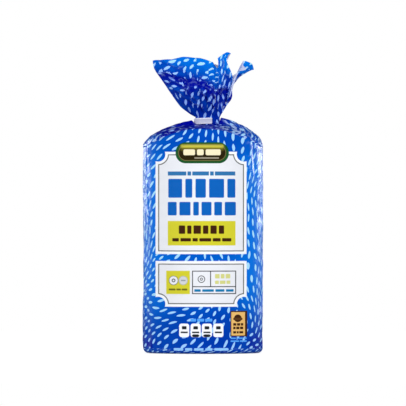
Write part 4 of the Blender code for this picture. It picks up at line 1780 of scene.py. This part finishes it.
@dataclass(frozen=True)
class PrintedFilm:
    """Thin glossy film, printed in blue with pale grains; painted shade and painted highlights are mixed into its
    colour.
    """

    bright: Colour = tone(0, 120, 230)
    deep: Colour = tone(0, 37, 160)
    # Navy of the painted shade, and of many layers of film.
    layered_shade: Colour = tone(0, 5, 152)
    grain: Colour = tone(174, 232, 255)
    # Shaded copy of the grain colour, for grains in painted shade and in the deeper blue.
    deep_grain: Colour = tone(146, 180, 255)
    bare: Colour = tone(226, 228, 246)
    # Colour of the painted highlights.
    painted_sheen: Colour = tone(190, 216, 255)
    gloss: Colour = (0.10, 0.45, 1.0)
    roughness: float = 0.32
    coat: float = 0.06
    coat_roughness: float = 0.12
    specular: float = 0.14
    crinkle_depth: float = 0.0006
    grain_length: float = 7.0
    grain_width: float = 2.25

    def _ground(self, tree: bpy.types.NodeTree, effects: Effects, roofed: bool) -> bpy.types.NodeSocket:
        """The blue and its grains: deeper down the middle, towards the foot and towards the top of the wall, with
        painted shade and painted highlights kept on the mesh.

        Args:
            tree: The material's tree.
            effects: The shared effects.
            roofed: Whether the finish reaches the roof, where the folds run to the clip.

        Returns:
            The ground colour.
        """
        x, y, z = parts_of(tree, tree.nodes.new("ShaderNodeTexCoord").outputs["Object"])
        across, up = (x / MM).size(), z / MM
        on_body = up.step(194.0, 186.0)
        middle = across.step(40.0, 16.0) * on_body * 0.42
        foot = up.step(62.0, 12.0) * 0.68
        head = up.step(148.0, 172.0) * on_body * 0.44
        deep = 1.0 - (1.0 - middle) * (1.0 - foot) * (1.0 - head) * (1.0 - on_body * 0.12)
        # Painted shade kept on the mesh, with the deeper blue of stacked film, draws the blue towards navy.
        shade_and_layers = kept_value(tree, SHADE_AND_LAYERS)
        broad = (noise(tree, vector(tree, x / MM, y / MM, up), 0.03, 2.0) - 0.5) * 0.3
        blue = mixed(tree, (deep + broad).at_least(0.0).at_most(1.0), self.bright, self.deep)
        blue = mixed(tree, shade_and_layers, blue, self.layered_shade)
        film = tree.nodes.new("ShaderNodeUVMap")
        film.uv_map = FILM_UV
        grains = use_group(
            tree,
            effects[Effect.GRAINS],
            Film=film.outputs[0],
            Pitch_Along_Row=7.6,
            Row_Pitch=8.8,
            Length=self.grain_length,
            Width=self.grain_width,
            Swirl=4.6,
            Row_Bend=34.0,
        )
        # Grains take their shaded copy where the blue is deeper or under painted shade, and are hidden in the darkest
        # painted shade.
        pale = mixed(tree, (deep * 0.6).at_least(shade_and_layers), self.grain, self.deep_grain)
        hidden = shade_and_layers.step(0.93, 1.0)
        inked = mixed(tree, grains * (1.0 - hidden), blue, pale)
        place = vector(tree, x / MM, y / MM, up)
        if roofed:
            along, out, _ = parts_of(tree, film.outputs[0])
            place = mixed(tree, kept_value(tree, ROOF), place, vector(tree, along * 0.7, out * 0.3))
        # Painted highlights: pale broken lines where the mesh holds a painted highlight.
        painted_glints = use_group(tree, effects[Effect.PAINTED_GLINTS], Place=place, Scale=0.16, Thinness=13.0)
        return mixed(tree, kept_value(tree, PAINTED_SHEEN) * painted_glints, inked, self.painted_sheen)

    def _shaded(self, name: str, effects: Effects, layers: Sequence[object]) -> bpy.types.Material:
        """Builds the finish with its extra print layers.

        Args:
            name: The finish's name.
            effects: The shared effects.
            layers: What is printed over the ground, in order.

        Returns:
            The finish.
        """
        material, tree, shader = started(name)
        front = Print(tree, effects)
        if layers:
            front.plaque(-36.6, 83.4, 33.4, 162.6, 162.6)
            front.plaque(-36.6, 40.5, 33.5, 73.5, 40.5)
            for patches in layers:
                front.lay_all(patches)
        tree.links.new(front.over(self._ground(tree, effects, not layers)), shader.inputs["Base Color"])
        place = tree.nodes.new("ShaderNodeTexCoord").outputs["Object"]
        x, y, z = parts_of(tree, place)
        slack = kept_value(tree, SLACK)
        strands = vector(tree, x / MM, y / MM, z / MM * 0.45)
        crinkle = use_group(tree, effects[Effect.CRINKLE], Place=strands, Scale=0.13)
        height = crinkle * (slack * 0.9 + 0.04)
        tree.links.new(bumped(tree, height, self.crinkle_depth, 0.7), shader.inputs["Normal"])
        rough = noise(tree, vector(tree, x / MM, y / MM, z / MM), 0.08, 2.0) * 0.14 + (self.roughness - 0.07)
        join(tree, rough, shader.inputs["Roughness"])
        shader.inputs["Specular IOR Level"].default_value = self.specular
        shader.inputs["Specular Tint"].default_value = (*self.gloss, 1.0)
        shader.inputs["Coat Weight"].default_value = self.coat
        shader.inputs["Coat Roughness"].default_value = self.coat_roughness
        return material

    def plain(self, effects: Effects) -> bpy.types.Material:
        """The film away from the panels."""
        return self._shaded("printed film", effects, ())

    def front(self, effects: Effects) -> bpy.types.Material:
        """The film of the front, with its panels."""
        return self._shaded("printed front", effects, (PANEL_PATCHES, FOOT_PATCHES, PLATE_PATCHES))

    def inner(self, effects: Effects) -> bpy.types.Material:
        """The unprinted inner side: the white backing, with the blue showing through faintly."""
        material, tree, shader = started("film inner side")
        show = noise(tree, tree.nodes.new("ShaderNodeTexCoord").outputs["Object"], 60.0, 2.0)
        colour = mixed(tree, show.step(0.35, 0.8), self.bare, tone(168, 184, 240))
        tree.links.new(colour, shader.inputs["Base Color"])
        x, y, z = parts_of(tree, tree.nodes.new("ShaderNodeTexCoord").outputs["Object"])
        crinkle = use_group(tree, effects[Effect.CRINKLE], Place=vector(tree, x / MM, y / MM, z / MM), Scale=0.16)
        tree.links.new(bumped(tree, crinkle, self.crinkle_depth, 0.7), shader.inputs["Normal"])
        shader.inputs["Roughness"].default_value = 0.38
        shader.inputs["Coat Weight"].default_value = 0.3
        return material


@dataclass(frozen=True)
class ClipFinish:
    """Matt coated strip: greyish over its middle, lighter along the wires in its edges."""

    middle: Colour = tone(196, 196, 216)
    edge: Colour = tone(236, 236, 244)

    def build(self) -> bpy.types.Material:
        """Builds the finish."""
        material, tree, shader = started("clip strip")
        edge = kept_value(tree, "Edge")
        x, y, z = parts_of(tree, tree.nodes.new("ShaderNodeTexCoord").outputs["Object"])
        streak = noise(tree, vector(tree, x / MM, y / MM, z / MM * 5.0), 0.5, 2.0)
        share = (edge.step(1.35, 2.1) + (streak - 0.5) * 0.25).at_least(0.0).at_most(1.0)
        tree.links.new(mixed(tree, share, self.middle, self.edge), shader.inputs["Base Color"])
        height = noise(tree, vector(tree, x / MM, y / MM, z / MM), 1.6, 3.0)
        tree.links.new(bumped(tree, height, 0.0004, 0.4), shader.inputs["Normal"])
        join(tree, streak * 0.2 + 0.38, shader.inputs["Roughness"])
        return material


# ---------------------------------------------------------------------------------------------------
# Studio
# ---------------------------------------------------------------------------------------------------


@dataclass(frozen=True)
class Lamp:
    """A soft rectangular light, in metres and watts."""

    name: str
    place: tuple[float, float, float]
    width: float
    height: float
    power: float
    mirrored: bool = True
    colour: Colour = (1.0, 1.0, 1.0)
    aim: tuple[float, float, float] = (0.0, 0.0, 0.12)

    def build(self) -> None:
        """Puts the light in the scene."""
        data = bpy.data.lights.new(self.name, "AREA")
        data.shape = "RECTANGLE"
        data.size = self.width
        data.size_y = self.height
        data.energy = self.power
        data.color = self.colour
        made = shown(self.name, data)
        made.visible_glossy = self.mirrored
        made.location = self.place
        made.rotation_mode = "QUATERNION"
        made.rotation_quaternion = facing(self.place, self.aim)


def facing(place: Sequence[float], aim: Sequence[float]) -> Quaternion:
    """The turn that points a lamp or a camera from its place at an aim."""
    return (Vector(aim) - Vector(place)).to_track_quat("-Z", "Y")


@dataclass
class Studio:
    """A white room with a pale floor, soft lamps and a camera level with the middle of the bag."""

    distance: float = 6.0
    aim_height: float = 0.1229
    frame_height: float = 0.3332
    sensor: float = 36.0
    floor_radius: float = 1.0
    room_light: float = 0.30
    room_gloss: float = 0.006
    lamps: tuple[Lamp, ...] = (
        Lamp("key", (0.0, -1.6, 1.30), 1.2, 0.8, 17.5, mirrored=False),
        Lamp("left fill", (-1.85, -1.15, 0.40), 0.9, 0.9, 20.0, mirrored=False),
        Lamp("right fill", (1.85, -1.15, 0.40), 0.9, 0.9, 21.0, mirrored=False),
        Lamp("left strip", (-0.80, 1.00, 0.26), 0.50, 0.24, 3.5, colour=(0.90, 0.90, 1.0), aim=(0.0, 0.0, 0.10)),
        Lamp("right strip", (0.80, 1.00, 0.27), 0.50, 0.24, 4.6, colour=(0.90, 0.90, 1.0), aim=(0.0, 0.0, 0.10)),
        Lamp("back fill", (0.0, 1.5, 1.6), 1.2, 0.8, 4.0, mirrored=False),
    )

    def _world(self) -> None:
        """White to the camera and a gentle grey to everything else."""
        world = bpy.data.worlds.new("studio")
        bpy.context.scene.world = world
        world.use_nodes = True
        tree = world.node_tree
        light = tree.nodes["Background"]
        seen = tree.nodes.new("ShaderNodeBackground")
        light.inputs["Color"].default_value = (0.86, 0.92, 1.0, 1.0)
        seen.inputs["Color"].default_value = (1.0, 1.0, 1.0, 1.0)
        rays = tree.nodes.new("ShaderNodeLightPath")
        mirrored = Term(tree, rays.outputs["Is Glossy Ray"])
        join(tree, self.room_light - mirrored * (self.room_light - self.room_gloss), light.inputs["Strength"])
        mix = tree.nodes.new("ShaderNodeMixShader")
        tree.links.new(rays.outputs["Is Camera Ray"], mix.inputs[0])
        tree.links.new(light.outputs[0], mix.inputs[1])
        tree.links.new(seen.outputs[0], mix.inputs[2])
        tree.links.new(mix.outputs[0], tree.nodes["World Output"].inputs["Surface"])

    def _floor(self) -> None:
        """A wide pale disc that reads as white, with a faint shadow under the bag."""
        count = 96
        ring = [(math.cos(2 * math.pi * k / count), math.sin(2 * math.pi * k / count)) for k in range(count)]
        mesh = bpy.data.meshes.new("floor")
        points = [(x * self.floor_radius, y * self.floor_radius, -0.0004) for x, y in ring]
        mesh.from_pydata(points, [], [tuple(range(count))])
        material, tree, shader = started("pale floor")
        gloss = Term(tree, tree.nodes.new("ShaderNodeLightPath").outputs["Is Glossy Ray"])
        tree.links.new(mixed(tree, gloss, (0.5, 0.5, 0.52), (0.05, 0.05, 0.05)), shader.inputs["Base Color"])
        shader.inputs["Roughness"].default_value = 0.9
        shader.inputs["Specular IOR Level"].default_value = 0.0
        glow = tree.nodes.new("ShaderNodeEmission")
        rays = tree.nodes.new("ShaderNodeLightPath")
        join(tree, Term(tree, rays.outputs["Is Camera Ray"]) * 0.72 + 0.02, glow.inputs["Strength"])
        both = tree.nodes.new("ShaderNodeAddShader")
        tree.links.new(shader.outputs[0], both.inputs[0])
        tree.links.new(glow.outputs[0], both.inputs[1])
        tree.links.new(both.outputs[0], tree.nodes["Material Output"].inputs["Surface"])
        mesh.materials.append(material)
        shown("floor", mesh)

    def _camera(self) -> None:
        """A long lens, level with the middle of the bag."""
        data = bpy.data.cameras.new("camera")
        data.sensor_width = self.sensor
        data.lens = self.sensor * self.distance / self.frame_height
        data.clip_end = 50.0
        made = shown("camera", data)
        made.location = (0.0, -self.distance, self.aim_height)
        made.rotation_mode = "QUATERNION"
        made.rotation_quaternion = facing(made.location, (0.0, 0.0, self.aim_height))
        bpy.context.scene.camera = made

    def build(self) -> None:
        """Builds the whole studio."""
        self._world()
        self._floor()
        for lamp in self.lamps:
            lamp.build()
        self._camera()
        bpy.context.scene.view_settings.view_transform = "Standard"


# ---------------------------------------------------------------------------------------------------
# The bag
# ---------------------------------------------------------------------------------------------------


@dataclass
class RiceCakeBag:
    """The whole bag."""

    pack: PackSizes
    slack: FilmSlack = field(default_factory=FilmSlack)
    film: PrintedFilm = field(default_factory=PrintedFilm)
    clip: ClipFinish = field(default_factory=ClipFinish)

    def build(self) -> list[bpy.types.Object]:
        """Builds every piece.

        Returns:
            The pieces.
        """
        effects = Effects()
        plain, front, inner = self.film.plain(effects), self.film.front(effects), self.film.inner(effects)
        crumple = Crumple(dent=0.9, crease=0.30, grain=9.0)
        return [
            FilmTube(self.pack, self.slack).build(plain, front),
            Crown(self.pack).build(plain, inner, crumple),
            Clip(self.pack).build(self.clip.build()),
            BackSeam(self.pack).build(plain),
            BaseSeal(self.pack).build(plain),
        ]


def main() -> None:
    """Builds the bag and the studio and reports every piece."""
    logging.basicConfig(level=logging.INFO, format="%(name)s: %(message)s")
    for piece in RiceCakeBag(PackSizes.from_frame()).build():
        LOG.info("%s: %d faces", piece.name, len(piece.data.polygons))
    Studio().build()


if __name__ == "__main__":
    main()
